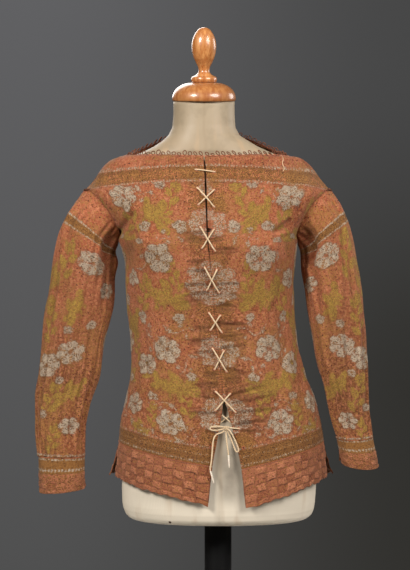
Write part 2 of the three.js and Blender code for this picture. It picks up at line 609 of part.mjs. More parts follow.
// ---------------------------------------------------------------- the lacing
// A tube through given points, with a ring of corners at each, turned as little as possible.
function tube(points, radius, sides) {
  const tangents = points.map((p, i) => {
    const into = i > 0 ? p.clone().sub(points[i - 1]).normalize() : vec(0, 0, 0);
    const onward = i < points.length - 1 ? points[i + 1].clone().sub(p).normalize() : vec(0, 0, 0);
    return into.add(onward).normalize();
  });
  let across = vec(0, 1, 0).cross(tangents[0]);
  if (across.length() < 0.1) across = vec(0, 0, 1).cross(tangents[0]);
  const rings = points.map((p, i) => {
    across.addScaledVector(tangents[i], -across.dot(tangents[i])).normalize();
    const up = tangents[i].clone().cross(across);
    return turnsRound(sides).map((turn) => p.clone()
      .addScaledVector(across, radius * Math.cos(turn))
      .addScaledVector(up, radius * Math.sin(turn)));
  });
  const positions = [...rings.flat(), points[0], points[points.length - 1]].flatMap((p) => [p.x, p.y, p.z]);
  const faces = [];
  for (let i = 0; i < rings.length - 1; i += 1) {
    for (let j = 0; j < sides; j += 1) {
      const [a, b] = [i * sides + j, i * sides + ((j + 1) % sides)];
      faces.push([a, b, b + sides], [a, b + sides, a + sides]);
    }
  }
  const [first, last] = [rings.length * sides, rings.length * sides + 1];
  const lastRing = (rings.length - 1) * sides;
  for (let j = 0; j < sides; j += 1) {
    const k = (j + 1) % sides;
    faces.push([first, k, j], [last, lastRing + j, lastRing + k]);
  }
  return facesToGeometry(positions, faces);
}

// The lace crosses behind the cloth, comes out, crosses before it, goes in, and so on up to a bar
// across the top, and down again on the other side. Both its ends come out of the last pair.
function crossingRoute() {
  const last = EYELETS.length - 1;
  const over = LACE_RADIUS + 2 * TOUCH_GAP;
  const [above, below] = [over, -CLOTH - over];
  const at = (side, k, height) => {
    const { point, outward } = eyelet(side, EYELETS[k]);
    return point.addScaledVector(outward, height);
  };
  const half = (first, step, isOuter) => {
    const places = [];
    for (let n = 0; n <= last; n += 1) {
      const k = step < 0 ? last - n : n;
      const side = n % 2 === 0 ? first : -first;
      const leavesAbove = step < 0 ? k % 2 === 0 : k % 2 === 1;
      const leave = leavesAbove ? above : below;
      places.push(at(side, k, leavesAbove ? below : above), at(side, k, leave));
      if (n < last) {
        const rise = leavesAbove ? STRAND_STEP * (isOuter ? 1 : 0) : -STRAND_STEP * (isOuter ? 1 : 0);
        const middle = at(side, k, leave).add(at(-side, k + step, leave)).multiplyScalar(0.5);
        places.push(middle.addScaledVector(eyelet(side, EYELETS[k]).outward, rise));
      }
    }
    return places;
  };
  const [start, end] = TO_EYELET.map(leaving);
  return [...start, ...half(-1, -1, true), ...half(-1, 1, false), ...end.reverse()];
}

// The bow's place and its parts: routes are offsets from the knot's middle, across, out and up. A
// route's first point, and a loop's last one, only says which way it leaves the knot.
const KNOT = { rx: 5.2, ry: 3.4, rz: 4.4 };
const TO_EYELET = [[-5, -2.4, -0.6], [5, -2.4, 0.8]];
const BOW_LOOP_RIGHT = [
  [-5, 1, 2.2], [-11, 2, 3.6], [-18, 2, 3.4], [-23, 1.8, 2.6], [-26.6, 1.6, 0.4], [-25, 1.6, -2.2],
  [-19, 1.6, -3], [-12, 1.8, -2.4], [-5, 0.8, -0.9],
];
const BOW_LOOP_LEFT = [
  [4, 1, -2.4], [8.6, 2.4, -8], [12.4, 3, -15], [16.2, 3, -23], [19, 2.8, -31], [20.4, 2.4, -36.6],
  [18, 1.8, -38.4], [14.8, 1.4, -33.4], [11.2, 0.8, -26], [7.8, 0.2, -17], [4.6, -0.2, -9.4], [2, -0.4, -4],
];
const LACE_END_RIGHT = [
  [-3, -0.4, -3.4], [-8.4, -0.2, -7.4], [-15, 0.6, -9.6], [-19.6, 1.6, -14], [-22, 2.2, -22],
  [-23.4, 2.8, -38], [-25, 3.6, -56], [-27, 4.4, -66.5], [-26.4, 4.6, -70],
];
const LACE_END_LEFT = [
  [-0.4, -0.4, -4], [-0.2, -0.4, -12], [0.8, -0.2, -22], [2.2, 0, -33], [3.7, 0, -44],
];
const AGLET = { radius: 1.6, length: 21, sides: 10 };
const AGLET_LEAN = [{ name: 'right', across: 0.28 }, { name: 'left', across: 0.06 }];

function knotPlace() {
  const ends = [-1, 1].map((side) => eyelet(side, EYELETS[EYELETS.length - 1]).point);
  const place = ends[0].clone().lerp(ends[1], 0.5);
  place.y = Math.min(ends[0].y, ends[1].y) - 5.4;
  return place;
}

const fromKnot = ([across, out, up]) => knotPlace().add(vec(across, -out, up));

// Where a strand that leaves the knot in a direction starts, and a point a little further on.
function leaving([across, out, up]) {
  const way = vec(across, -out, up);
  const spot = way.divideScalar(Math.hypot(way.x / KNOT.rx, way.y / KNOT.ry, way.z / KNOT.rz));
  const outward = vec(spot.x / KNOT.rx ** 2, spot.y / KNOT.ry ** 2, spot.z / KNOT.rz ** 2).normalize();
  return [1, 4].map((n) => knotPlace().add(spot).addScaledVector(outward, n * TOUCH_GAP));
}

const strandFrom = (route) => [...leaving(route[0]), ...route.slice(1).map(fromKnot)];
const loopFrom = (route) => [
  ...strandFrom(route.slice(0, -1)),
  ...leaving(route[route.length - 1]).reverse(),
];

// ---------------------------------------------------------------- the dress form
function formRing(row, count) {
  const middle = (row.right + row.left) / 2;
  const half = (row.left - row.right) / 2;
  const power = 2 / FORM_ROUNDNESS;
  const slope = Math.tan(radians(NECK.tilt)) * smooth(NECK.slopeFrom, NECK.z, row.z);
  return turnsRound(count).map((turn) => {
    const [c, s] = [Math.cos(turn), Math.sin(turn)];
    const y = Math.sign(s) * Math.abs(s) ** power * (s < 0 ? row.fore : row.aft);
    const x = middle + half * Math.sign(c) * Math.abs(c) ** power;
    return vec(x, y, row.z + slope * (y - NECK.y));
  });
}

function formBody() {
  const count = 26;
  const rows = FORM_LEVELS.map((row) => formRing(row, count));
  const middles = [rows[0], rows[rows.length - 1]].map((ring) => ring
    .reduce((sum, p) => sum.add(p), vec(0, 0, 0))
    .multiplyScalar(1 / count));
  const positions = [...rows.flat(), ...middles].flatMap((p) => [p.x, p.y, p.z]);
  const faces = [];
  for (let i = 0; i < rows.length - 1; i += 1) {
    for (let j = 0; j < count; j += 1) {
      const [a, b] = [i * count + j, i * count + ((j + 1) % count)];
      faces.push([a, b, b + count], [a, b + count, a + count]);
    }
  }
  const top = (rows.length - 1) * count;
  for (let j = 0; j < count; j += 1) {
    const k = (j + 1) % count;
    faces.push([rows.length * count, k, j], [rows.length * count + 1, top + j, top + k]);
  }
  return facesToGeometry(positions, faces);
}

// A turned solid: a profile of [radius, height] pairs about +Z.
function turned(profile, sides) {
  const geometry = new THREE.LatheGeometry(profile.map(([r, h]) => new THREE.Vector2(r, h)), sides);
  return geometry.rotateX(Math.PI / 2);
}

function neckCap() {
  const dome = range(6, 0, 1).map((t) => {
    const angle = (t * Math.PI) / 2;
    const radius = CAP.topRadius + (CAP.radius - CAP.topRadius) * Math.cos(angle);
    return [radius, CAP.rim + (CAP.height - CAP.rim) * Math.sin(angle)];
  });
  return turned([[0, 0], [CAP.radius - 1.5, 0], ...dome, [0, CAP.height]], 28);
}

function knob() {
  const profile = KNOB_TURNING.map(({ h, r }) => [r, h]);
  return turned([[0, 0], ...profile, [0, KNOB_HEIGHT]], 16);
}

function base() {
  const { radius, height, edge, sides } = BASE;
  const rim = [[radius, 0], [radius, height - edge], [radius - edge, height]];
  return turned([[0, 0], ...rim, [0, height]], sides);
}

function pole() {
  const length = FORM_LEVELS[0].z - BASE.height - 2 * TOUCH_GAP;
  return turned([[0, 0], [POLE.radius, 0], [POLE.radius, length], [0, length]], POLE.sides);
}

// ---------------------------------------------------------------- the whole, as a scene graph
const MATERIALS = {
  knit: new THREE.MeshStandardMaterial({ color: 0xb96a48, roughness: 0.85, metalness: 0 }),
  welt: new THREE.MeshStandardMaterial({ color: 0xb0673f, roughness: 0.88, metalness: 0 }),
  lace: new THREE.MeshStandardMaterial({ color: 0xe6cfa8, roughness: 0.7, metalness: 0 }),
  aglet: new THREE.MeshStandardMaterial({ color: 0xf0e2d2, roughness: 0.5, metalness: 0 }),
  linen: new THREE.MeshStandardMaterial({ color: 0xd9cfb8, roughness: 0.75, metalness: 0 }),
  beech: new THREE.MeshStandardMaterial({ color: 0xd0813c, roughness: 0.3, metalness: 0 }),
  iron: new THREE.MeshStandardMaterial({ color: 0x17171a, roughness: 0.5, metalness: 0.4 }),
};

const waistcoat = new THREE.Group();
const stand = new THREE.Group();
const neckTop = new THREE.Group();

function piece(parent, name, geometry, material) {
  const mesh = new THREE.Mesh(geometry, MATERIALS[material]);
  mesh.name = name;
  parent.add(mesh);
  return mesh;
}

for (const side of [-1, 1]) {
  const hand = edgeName(side);
  piece(waistcoat, `front_${hand}`, front(side), 'knit');
  piece(waistcoat, `hem_welt_front_${hand}`, frontWelt(side), 'welt');
  piece(waistcoat, `sleeve_${hand}`, sleeve(side), 'knit');
  piece(waistcoat, `cuff_${hand}`, cuff(side), 'welt');
}
piece(waistcoat, 'back', back(), 'knit');
piece(waistcoat, 'hem_welt_back', backWelt(), 'welt');

piece(waistcoat, 'lace_crossings', tube(crossingRoute(), LACE_RADIUS, 6), 'lace');
const bow = new THREE.SphereGeometry(1, 12, 8).scale(KNOT.rx, KNOT.ry, KNOT.rz);
const knotMesh = piece(waistcoat, 'bow_knot', bow, 'lace');
knotMesh.position.copy(knotPlace());
piece(waistcoat, 'bow_loop_right', tube(loopFrom(BOW_LOOP_RIGHT), LACE_RADIUS, 6), 'lace');
piece(waistcoat, 'bow_loop_left', tube(loopFrom(BOW_LOOP_LEFT), LACE_RADIUS, 6), 'lace');
for (const { name, across } of AGLET_LEAN) {
  const route = strandFrom(name === 'right' ? LACE_END_RIGHT : LACE_END_LEFT);
  piece(waistcoat, `lace_end_${name}`, tube(route, LACE_RADIUS, 6), 'lace');
  const tag = new THREE.CylinderGeometry(AGLET.radius, AGLET.radius, AGLET.length, AGLET.sides);
  const mesh = piece(waistcoat, `aglet_${name}`, tag.rotateX(Math.PI / 2), 'aglet');
  const lean = vec(across, 0, -1).normalize();
  mesh.quaternion.setFromUnitVectors(vec(0, 0, -1), lean);
  mesh.position.copy(route[route.length - 1]).addScaledVector(lean, AGLET.length / 2 + 2 * TOUCH_GAP);
}

piece(stand, 'form_body', formBody(), 'linen');
piece(neckTop, 'neck_cap', neckCap(), 'beech');
piece(neckTop, 'neck_knob', knob(), 'beech').position.z = CAP.height + TOUCH_GAP;
neckTop.rotation.x = radians(NECK.tilt);
neckTop.position.set(NECK.x, NECK.y, NECK.z + TOUCH_GAP);
stand.add(neckTop);
piece(stand, 'pole', pole(), 'iron').position.z = BASE.height + TOUCH_GAP;
piece(stand, 'base', base(), 'iron');

const object = new THREE.Group();
object.add(waistcoat, stand);

export default object;
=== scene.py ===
"""A knitted silk waistcoat with long sleeves, laced down the front, on a limbless dress form.

Each cloth piece is a fine grid that follows the same levels and rings as its solid, so it lies where
the solid lies. Sizes are in millimetres, and MM turns them into metres. "right" and "left" are the
wearer's, so the right side lies at -X, and the front faces -Y.
"""

import math

import bmesh
import bpy
import numpy as np
from mathutils import Matrix, Vector


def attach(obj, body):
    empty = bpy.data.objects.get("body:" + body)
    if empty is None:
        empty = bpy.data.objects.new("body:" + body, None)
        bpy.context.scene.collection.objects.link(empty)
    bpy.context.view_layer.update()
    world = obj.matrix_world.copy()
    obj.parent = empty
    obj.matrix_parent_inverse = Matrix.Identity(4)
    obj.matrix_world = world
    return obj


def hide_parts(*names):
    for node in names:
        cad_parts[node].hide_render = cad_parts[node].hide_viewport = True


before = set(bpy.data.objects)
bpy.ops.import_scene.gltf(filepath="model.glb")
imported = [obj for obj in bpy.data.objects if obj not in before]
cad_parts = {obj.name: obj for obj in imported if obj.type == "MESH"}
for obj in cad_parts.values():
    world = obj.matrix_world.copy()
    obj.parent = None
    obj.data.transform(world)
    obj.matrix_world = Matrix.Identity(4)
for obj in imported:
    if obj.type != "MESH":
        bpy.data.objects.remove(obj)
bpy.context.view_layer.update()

MM = 0.001
BODY = "root"
FRONT, BACK = -1, 1
RIGHT, LEFT = -1, 1
HAND = {RIGHT: "right", LEFT: "left"}
CLOTH = 2.0
TOUCH_GAP = 0.3
SEAM_GAP = 0.4
rng = np.random.default_rng(1640)


# ---- small mathematics
def table(columns, *rows):
    """Rows of numbers as one array for each named column."""
    return {name: np.array([row[k] for row in rows], float) for k, name in enumerate(columns.split())}


def smooth(low, high, value):
    t = np.clip((value - low) / (high - low), 0, 1)
    return t * t * (3 - 2 * t)


def lerp(a, b, t):
    return a + (b - a) * t


def spot(x, y, z):
    return np.stack(np.broadcast_arrays(x, y, z), axis=-1).astype(float)


def unit(vectors):
    return vectors / np.maximum(np.linalg.norm(vectors, axis=-1, keepdims=True), 1e-12)


def column(rows, name, at, last=None):
    """A value of a table at fractional rows, on one smooth curve through the rows up to the last."""
    values = rows[name] if last is None else rows[name][: last + 1]
    at = np.asarray(at, float)
    i = np.clip(np.floor(at).astype(int), 0, len(values) - 2)
    t = at - i
    a, b, c, d = (values[np.clip(i + k, 0, len(values) - 1)] for k in (-1, 0, 1, 2))
    from_b, to_c = (c - a) / 2, (d - b) / 2
    return (b * (2 * t**3 - 3 * t**2 + 1) + from_b * (t**3 - 2 * t**2 + t)
            + c * (3 * t**2 - 2 * t**3) + to_c * (t**3 - t**2))


def halved(low, high, is_low, steps=24):
    """The place between low and high where is_low turns from true to false, by halving."""
    for _ in range(steps):
        guess = (low + high) / 2
        below = is_low(guess)
        low, high = np.where(below, guess, low), np.where(below, high, guess)
    return high


def row_at(rows, name, value):
    value = np.asarray(value, float)
    last = len(rows[name]) - 1.0
    return halved(np.zeros_like(value), np.full_like(value, last), lambda g: column(rows, name, g) < value)


def rounded_route(points, steps=6):
    """A smooth route through points, with that many short steps between two of them."""
    points = np.asarray(points, float)
    rows = {axis: points[:, k] for k, axis in enumerate("xyz")}
    at = np.linspace(0, len(points) - 1, (len(points) - 1) * steps + 1)
    return spot(*(column(rows, axis, at) for axis in "xyz"))


def ripples(u, v, stretch_u, stretch_v, waves=14):
    """Soft uneven waves, about 1 high, that are stretch_u and stretch_v long in the two directions."""
    total = np.zeros(np.broadcast(u, v).shape)
    for _ in range(waves):
        ku, kv, phase = rng.normal(0, 1 / stretch_u), rng.normal(0, 1 / stretch_v), rng.uniform(0, math.tau)
        total = total + np.sin(math.tau * (ku * u + kv * v) + phase)
    return total / math.sqrt(waves)


# ---- the garment's driving dimensions
# Levels of the body, hem to neckline: heights at the side seam, centre front and centre back, places
# of the side seams, how far the cloth stands before and behind them, and the section's exponent.
LEVELS = table(
    "side front back right left fore aft round",
    (284, 245, 262, -176, 187, 125, 136, 2.3),  # hem edge
    (344, 311, 323, -173, 184, 123, 133, 2.3),  # welt top
    (382, 354, 367, -169, 178, 121, 128, 2.3),  # hip
    (422, 406, 412, -160, 168, 115, 119, 2.3),  # high hip
    (464, 458, 460, -152, 150, 108, 110, 2.3),  # low waist
    (510, 508, 509, -152, 139, 104, 102, 2.3),  # waist
    (562, 562, 562, -157, 134, 105, 97, 2.3),  # ribs
    (615, 615, 615, -161, 131, 111, 95, 2.35),  # midriff
    (657, 657, 659, -162, 135, 117, 96, 2.5),  # bust
    (694, 697, 702, -173, 138, 117, 98, 2.8),  # underarm
    (780, 796, 812, -234, 198, 95, 92, 1.75),  # shoulder
    (840, 834, 892, -159, 121, 74, 60, 1.9),  # neckline
)
HEM, WELT_TOP, UNDERARM, SHOULDER, NECKLINE = 0, 1, 9, 10, 11
RISE = {FRONT: 1.2, BACK: 1.7}
RIDGE_BULGE = 13
CORNER_FADE = 0.6

FRONT_EDGES = table(
    "level right left drop",
    (0, -18, 45.5, 8), (1, -10.5, 38, 7), (2, -2.5, 28.5, 3), (3, 6, 15.5, 1), (3.35, 7.4, 8.9, 0),
    (4, 4.6, 5.3, 0), (5, -1.1, -0.4, 0), (6, -6.6, -5.9, 0), (7, -10.7, -9.9, 0), (8, -15.4, -14.3, 0),
    (9, -19.7, -17.4, 0), (10, -23.8, -20.6, 0), (11, -25.1, -23.4, 0),
)

ARMHOLE_HALF_DEPTH = 46
ARMHOLE_BOW = 15

# Rings of the sleeves after the armhole: outer and inner places across with their heights, how far
# the ring lies before the side seams' plane, its half depth, and how much lower its front hangs.
RING_COLUMNS = "outer outer_z inner inner_z set half_depth dip"
SLEEVE_ROWS = {
    RIGHT: (
        (-261, 743, -179, 676, 0, 47, 0), (-278, 703, -176, 653, 2, 46, 0),
        (-289, 650, -178, 624, 5, 44, 0), (-297, 589, -183, 582, 9, 42, 0),
        (-305, 528, -197, 528, 13, 39, 0), (-311, 466, -206, 466, 17, 36, 0),
        (-314, 419, -220, 419, 20, 33, 0), (-314, 372, -230, 372, 22, 30, 0),
        (-311, 320, -231, 319, 24, 27, 1), (-309, 257, -231, 264, 25, 26, 2),
    ),
    LEFT: (
        (219, 743, 145, 677, 0, 47, 0), (233, 703, 144, 653, 2, 46, 0), (244, 650, 148, 624, 5, 44, 0),
        (253, 589, 154, 582, 9, 42, 0), (258, 528, 163, 528, 13, 39, 0), (260, 474, 173, 474, 17, 36, 0),
        (260, 430, 186, 430, 20, 33, 1), (261, 391, 195, 390, 22, 30, 2),
        (267, 354, 204, 352, 24, 27, 4), (277, 302, 213, 308, 25, 26, 6),
    ),
}
CUFF_TOP, CUFF_EDGE = 9, 10

# Long soft troughs in the sleeves: degrees round the arm (0 outside, 90 front, 180 against the body),
# width in degrees, from and to ring, depth. The shallow ones are the small creases between them.
FOLD_COLUMNS = "turn wide from_ring to_ring deep"
FOLDS = {
    RIGHT: table(
        FOLD_COLUMNS,
        (58, 20, 1.2, 7.6, 4.5), (104, 16, 2.6, 7.4, 4.5), (142, 14, 0.3, 4.4, 9),
        (248, 24, 1.5, 6.5, 5), (300, 20, 3, 8, 4), (78, 7, 0.8, 4.6, 2.4), (122, 6, 1.4, 5.2, 2.2),
        (36, 7, 2.2, 8.2, 2.2), (90, 6, 4.8, 8.6, 2.0), (70, 6, 5.2, 8.8, 1.7), (20, 8, 4, 8, 2.0),
        (164, 8, 0.4, 3.6, 2.5), (128, 13, 0.02, 2.6, 5),
    ),
    LEFT: table(
        FOLD_COLUMNS,
        (70, 16, 1, 6, 5.5), (106, 18, 4, 8.6, 4.5), (136, 22, 0.1, 2.6, 12), (240, 24, 1.5, 6.5, 5),
        (296, 20, 3, 8, 4), (88, 7, 0.6, 4.2, 2.4), (52, 7, 1.2, 6.6, 2.2), (122, 7, 2.6, 6.6, 2.4),
        (34, 7, 2.4, 8, 2.2), (80, 6, 5.4, 8.8, 1.8), (20, 8, 1.4, 6, 2.0), (150, 8, 2.4, 6, 2.0),
        (128, 13, 0.02, 2.2, 6),
    ),
}
FOLD_RAMP = 0.8

BLOCK_RISE = 1.3
HEM_BLOCK_ROWS = 5
HEM_BLOCKS = {FRONT: 13, BACK: 28}
BLOCK_WIDTH = 14.5
WELT_PLAIN_FROM = 0.95
VENT_HALF_GAP = 2
VENT_FLARE = {FRONT: 4, BACK: 15}
CUFF_BLOCKS, CUFF_BLOCK_ROWS, CUFF_BAND = 14, 3, 0.42
CUFF_VENT_TURN, CUFF_VENT_GAP, CUFF_VENT_FLARE, CUFF_VENT_REACH = 206, 4, 9, 60

LACE_RADIUS = 1.2
EYELET_RADIUS = 1.75
EYELET_DROP_LEFT = 4
EYELETS = table(
    "z set_in",
    (810, 12.5), (779, 12), (750.5, 11), (711, 9.5), (676.6, 9.5), (644, 9), (607, 9), (568, 8.5), (540, 8.5),
    (508, 8.5), (474, 9), (436, 11), (405.5, 10.5), (376.5, 9.5), (343, 9),
)
LAST_LACED = 13
STRAND_STEP = 2 * LACE_RADIUS + 3 * TOUCH_GAP

KNOT = (5.2, 3.4, 4.4)
TO_EYELET = ((-5, -2.4, -0.6), (5, -2.4, 0.8))
BOW_LOOPS = {
    RIGHT: (
        (-5, 1, 2.2), (-11, 2, 3.6), (-18, 2, 3.6), (-22.6, 1.8, 3.1), (-25.6, 1.7, 2.2),
        (-27, 1.6, 0.1), (-25.6, 1.6, -2), (-22.4, 1.6, -2.9), (-18, 1.6, -3), (-12, 1.8, -2.4),
        (-5, 0.8, -0.9),
    ),
    LEFT: (
        (4, 1, -2.4), (8.6, 2.4, -8), (12.4, 3, -15), (16.2, 3, -23), (19.2, 2.8, -31), (20.3, 2.6, -35),
        (20, 2.3, -37.6), (17.9, 2, -39), (15.7, 1.7, -37.6), (14.1, 1.4, -34), (11.2, 0.8, -26),
        (7.8, 0.2, -17), (4.6, -0.2, -9.4), (2, -0.4, -4),
    ),
}
LACE_ENDS = {
    RIGHT: (
        (-3, -0.4, -3.4), (-8.4, -0.2, -7.4), (-15, 0.6, -9.6), (-19.6, 1.6, -14), (-22, 2.2, -22),
        (-23.4, 2.8, -38), (-25, 3.6, -56), (-27, 4.4, -66.5), (-26.4, 4.6, -70),
    ),
    LEFT: ((-0.4, -0.4, -4), (-0.2, -0.4, -12), (0.8, -0.2, -22), (2.2, 0, -33), (3.7, 0, -44)),
}
AGLET_RADIUS, AGLET_LENGTH = 1.6, 21
AGLET_LEAN = {RIGHT: 0.28, LEFT: 0.06}


# ---- the surfaces that the cloth follows
def armhole(side, turn):
    name = HAND[side]
    top = np.array([LEVELS[name][SHOULDER], 0, LEVELS["side"][SHOULDER]])
    bottom = np.array([LEVELS[name][UNDERARM], 0, LEVELS["side"][UNDERARM]])
    middle = (top + bottom) / 2
    down = top - middle
    inward = unit(np.array([-side * down[2], 0, side * down[0]]))
    c, s = np.cos(turn)[..., None], np.sin(turn)[..., None]
    return middle + down * c + inward * ARMHOLE_BOW * np.abs(s) - np.array([0, ARMHOLE_HALF_DEPTH, 0]) * s


def level_end(side, face, level):
    """Where a level ends at the side: on the side seam, the armhole's edge or the shoulder seam."""
    name = HAND[side]
    last = SHOULDER - 1
    seam = spot(column(LEVELS, name, level, last), 0, column(LEVELS, "side", level, last))
    hole = armhole(side, -face * math.pi * (1 + np.cos(math.pi * (level - UNDERARM))) / 2)
    low = np.array([LEVELS[name][SHOULDER], 0, LEVELS["side"][SHOULDER]])
    along = np.array([LEVELS[name][NECKLINE], 0, LEVELS["side"][NECKLINE]]) - low
    up = unit(np.array([side * along[2], 0, -side * along[0]]))
    t = np.clip(level - SHOULDER, 0, 1)[..., None]
    ridge = low + along * t + up * RIDGE_BULGE * np.sin(math.pi * t**1.7)
    on_hole = ((level > UNDERARM) & (level < SHOULDER))[..., None]
    return np.where(on_hole, hole, np.where((level < SHOULDER)[..., None], seam, ridge))


def rounded_end(side, face, level, share):
    reach = np.clip(np.minimum(np.minimum(CORNER_FADE * (1 - share), NECKLINE - level), level - HEM), 0, None)
    return sum(level_end(side, face, level + reach * k / 3) for k in range(-3, 4)) / 7


def body_point(face, level, swing):
    """A point of the body; swing is the angle from the middle of that face, a quarter turn at the side."""
    level, swing = np.broadcast_arrays(np.asarray(level, float), np.asarray(swing, float))
    share = np.minimum(np.abs(swing), math.pi / 2) / (math.pi / 2)
    is_right = (swing < 0)[..., None]
    end = np.where(is_right, rounded_end(RIGHT, face, level, share), rounded_end(LEFT, face, level, share))
    nothing = np.zeros_like(share)
    ends = [rounded_end(side, face, level, nothing)[..., 0] for side in (RIGHT, LEFT)]
    middle = (ends[0] + ends[1]) / 2
    depth = face * column(LEVELS, "fore" if face == FRONT else "aft", level)
    height = column(LEVELS, "front" if face == FRONT else "back", level)
    exponent = column(LEVELS, "round", level)
    full = np.arccos(np.clip(np.abs(end[..., 1] / depth) ** (exponent / 2), 0, 1))
    power = 2 / exponent
    across = np.sin(share * full) ** power / np.sin(full) ** power
    least = np.clip(np.cos(full), 0, None) ** power
    forward = (np.clip(np.cos(share * full), 0, None) ** power - least) / (1 - least)
    rise = np.minimum(1, across) ** RISE[face]
    return spot(
        lerp(middle, end[..., 0], across), lerp(end[..., 1], depth, forward), lerp(height, end[..., 2], rise),
    )


def swing_at(level, x):
    """The swing at which a front level is a given place across."""
    level, x = np.broadcast_arrays(np.asarray(level, float), np.asarray(x, float))
    side = np.where(x < body_point(FRONT, level, 0 * x)[..., 0], -1, 1)
    short = halved(
        np.zeros(x.shape), np.full(x.shape, math.pi / 2),
        lambda g: side * (body_point(FRONT, level, side * g)[..., 0] - x) < 0,
    )
    return side * short


def edge_across(side, level):
    return column(FRONT_EDGES, HAND[side], row_at(FRONT_EDGES, "level", level))


def front_point(side, level, share):
    """A point of one front for a column of levels and a row of shares, 0 at the front edge, 1 at the side."""
    start = swing_at(level, edge_across(side, level))
    swing = lerp(start, side * math.pi / 2, share)
    point = body_point(FRONT, level + 0 * share, np.where(np.abs(swing) < 1e-9, side * 1e-9, swing))
    if side == LEFT:
        point[..., 2] -= column(FRONT_EDGES, "drop", row_at(FRONT_EDGES, "level", level)) * (1 - share) ** 2
    return point


def back_point(level, share):
    swing = share * math.pi / 2
    return body_point(BACK, level + 0 * share, np.where(swing == 0, 1e-9, swing))


def rings_of(side):
    top, bottom = armhole(side, np.array(0.0)), armhole(side, np.array(math.pi))
    start = (top[0], top[2], bottom[0], bottom[2], 0, ARMHOLE_HALF_DEPTH, 0)
    return table(RING_COLUMNS, start, *SLEEVE_ROWS[side]), top - bottom


def sleeve_point(side, ring, turn):
    rings, down = rings_of(side)
    ring, turn = np.broadcast_arrays(np.asarray(ring, float), np.asarray(turn, float))
    c, s = np.cos(turn), np.sin(turn)
    mix = (1 + c) / 2
    bow = ARMHOLE_BOW * np.abs(s) * np.clip(1 - ring / 1.6, 0, None) ** 2 - 1.5 * SEAM_GAP
    get = lambda name: column(rings, name, ring)
    point = spot(
        lerp(get("inner"), get("outer"), mix),
        -get("set") - get("half_depth") * s,
        lerp(get("inner_z"), get("outer_z"), mix) - get("dip") * s,
    )
    inward = unit(np.array([-side * down[2], 0, side * down[0]]))
    return point + inward * bow[..., None]


def fold_depth(side, ring, turn):
    rows = FOLDS[side]
    degrees = np.degrees(turn) % 360
    total = 0
    for place, wide, start, end, deep in zip(*rows.values()):
        away = np.abs((degrees - place + 180) % 360 - 180)
        along = smooth(start, start + FOLD_RAMP, ring) * (1 - smooth(end - FOLD_RAMP, end, ring))
        total = total + deep * along * np.exp(-((away / wide) ** 2))
    return total


def outward_of(points, place, way, closed=False):
    """Unit normals of a grid, turned so that the one in the middle row at that place points the given way."""
    grid = np.concatenate([points[:, -2:-1], points, points[:, 1:2]], axis=1) if closed else points
    normals = unit(np.cross(np.gradient(grid, axis=1), np.gradient(grid, axis=0)))
    if closed:
        normals = normals[:, 1:-1]
        normals[:, -1] = normals[:, 0]
    return normals * np.sign(normals[len(points) // 2, place].dot(way))


def eyelet(side, row):
    """The place and outward direction of an eyelet."""
    z, set_in = EYELETS["z"][row], EYELETS["set_in"][row]
    level = float(row_at(LEVELS, "front", z - EYELET_DROP_LEFT if side == LEFT else z))
    swing = float(swing_at(level, edge_across(side, level) + side * set_in))
    point = body_point(FRONT, level, swing)
    step = 0.02
    along = body_point(FRONT, level, swing + step) - body_point(FRONT, level, swing - step)
    up = body_point(FRONT, level + step, swing) - body_point(FRONT, level - step, swing)
    normal = unit(np.cross(along, up))
    return point, normal if normal[1] < 0 else -normal


PLACES = {(side, row): eyelet(side, row) for side in (RIGHT, LEFT) for row in range(len(EYELETS["z"]))}


# ---- camera
VIEW_FROM = (-0.02275, -2.6, 0.61525)
VIEW_ANGLE = 21.7
SENSOR = 36


def camera():
    data = bpy.data.cameras.new("camera")
    data.sensor_fit = "VERTICAL"
    data.sensor_height = SENSOR
    data.lens = SENSOR / 2 / math.tan(math.radians(VIEW_ANGLE) / 2)
    data.clip_end = 20
    view = bpy.data.objects.new("camera", data)
    view.location = VIEW_FROM
    view.rotation_euler = (math.pi / 2, 0, 0)
    bpy.context.scene.collection.objects.link(view)
    bpy.context.scene.camera = view


camera()


# ---- materials
def tone(red, green, blue):
    """A colour given on the usual 0 to 255 scale, as the light-linear one that shaders take."""
    shares = (red / 255, green / 255, blue / 255)
    return (*(v / 12.92 if v <= 0.04045 else ((v + 0.055) / 1.055) ** 2.4 for v in shares), 1.0)


class Value:
    """A number that varies over a surface. Arithmetic on it, below, adds Math nodes."""

    def __init__(self, finish, socket):
        self.finish, self.socket = finish, socket

    def math(self, operation, *others):
        return self.finish.math(operation, self, *others)

    def __rsub__(self, other):
        return self.finish.math("SUBTRACT", other, self)

    def clip(self):
        return self.math("MAXIMUM", 0).math("MINIMUM", 1)

    def ramp(self, low, high):
        smoothly = {"interpolation_type": "SMOOTHSTEP"}
        return self.finish.add("ShaderNodeMapRange", smoothly, self, low, high, 0, 1)


def operator(operation):
    """A method of Value that adds a Math node."""
    return lambda value, *others: value.math(operation, *others)


for name, operation in (
    ("__add__", "ADD"), ("__radd__", "ADD"), ("__sub__", "SUBTRACT"), ("__mul__", "MULTIPLY"),
    ("__rmul__", "MULTIPLY"), ("__gt__", "GREATER_THAN"), ("__lt__", "LESS_THAN"), ("__abs__", "ABSOLUTE"),
    ("sine", "SINE"), ("floor", "FLOOR"), ("fract", "FRACT"),
):
    setattr(Value, name, operator(operation))


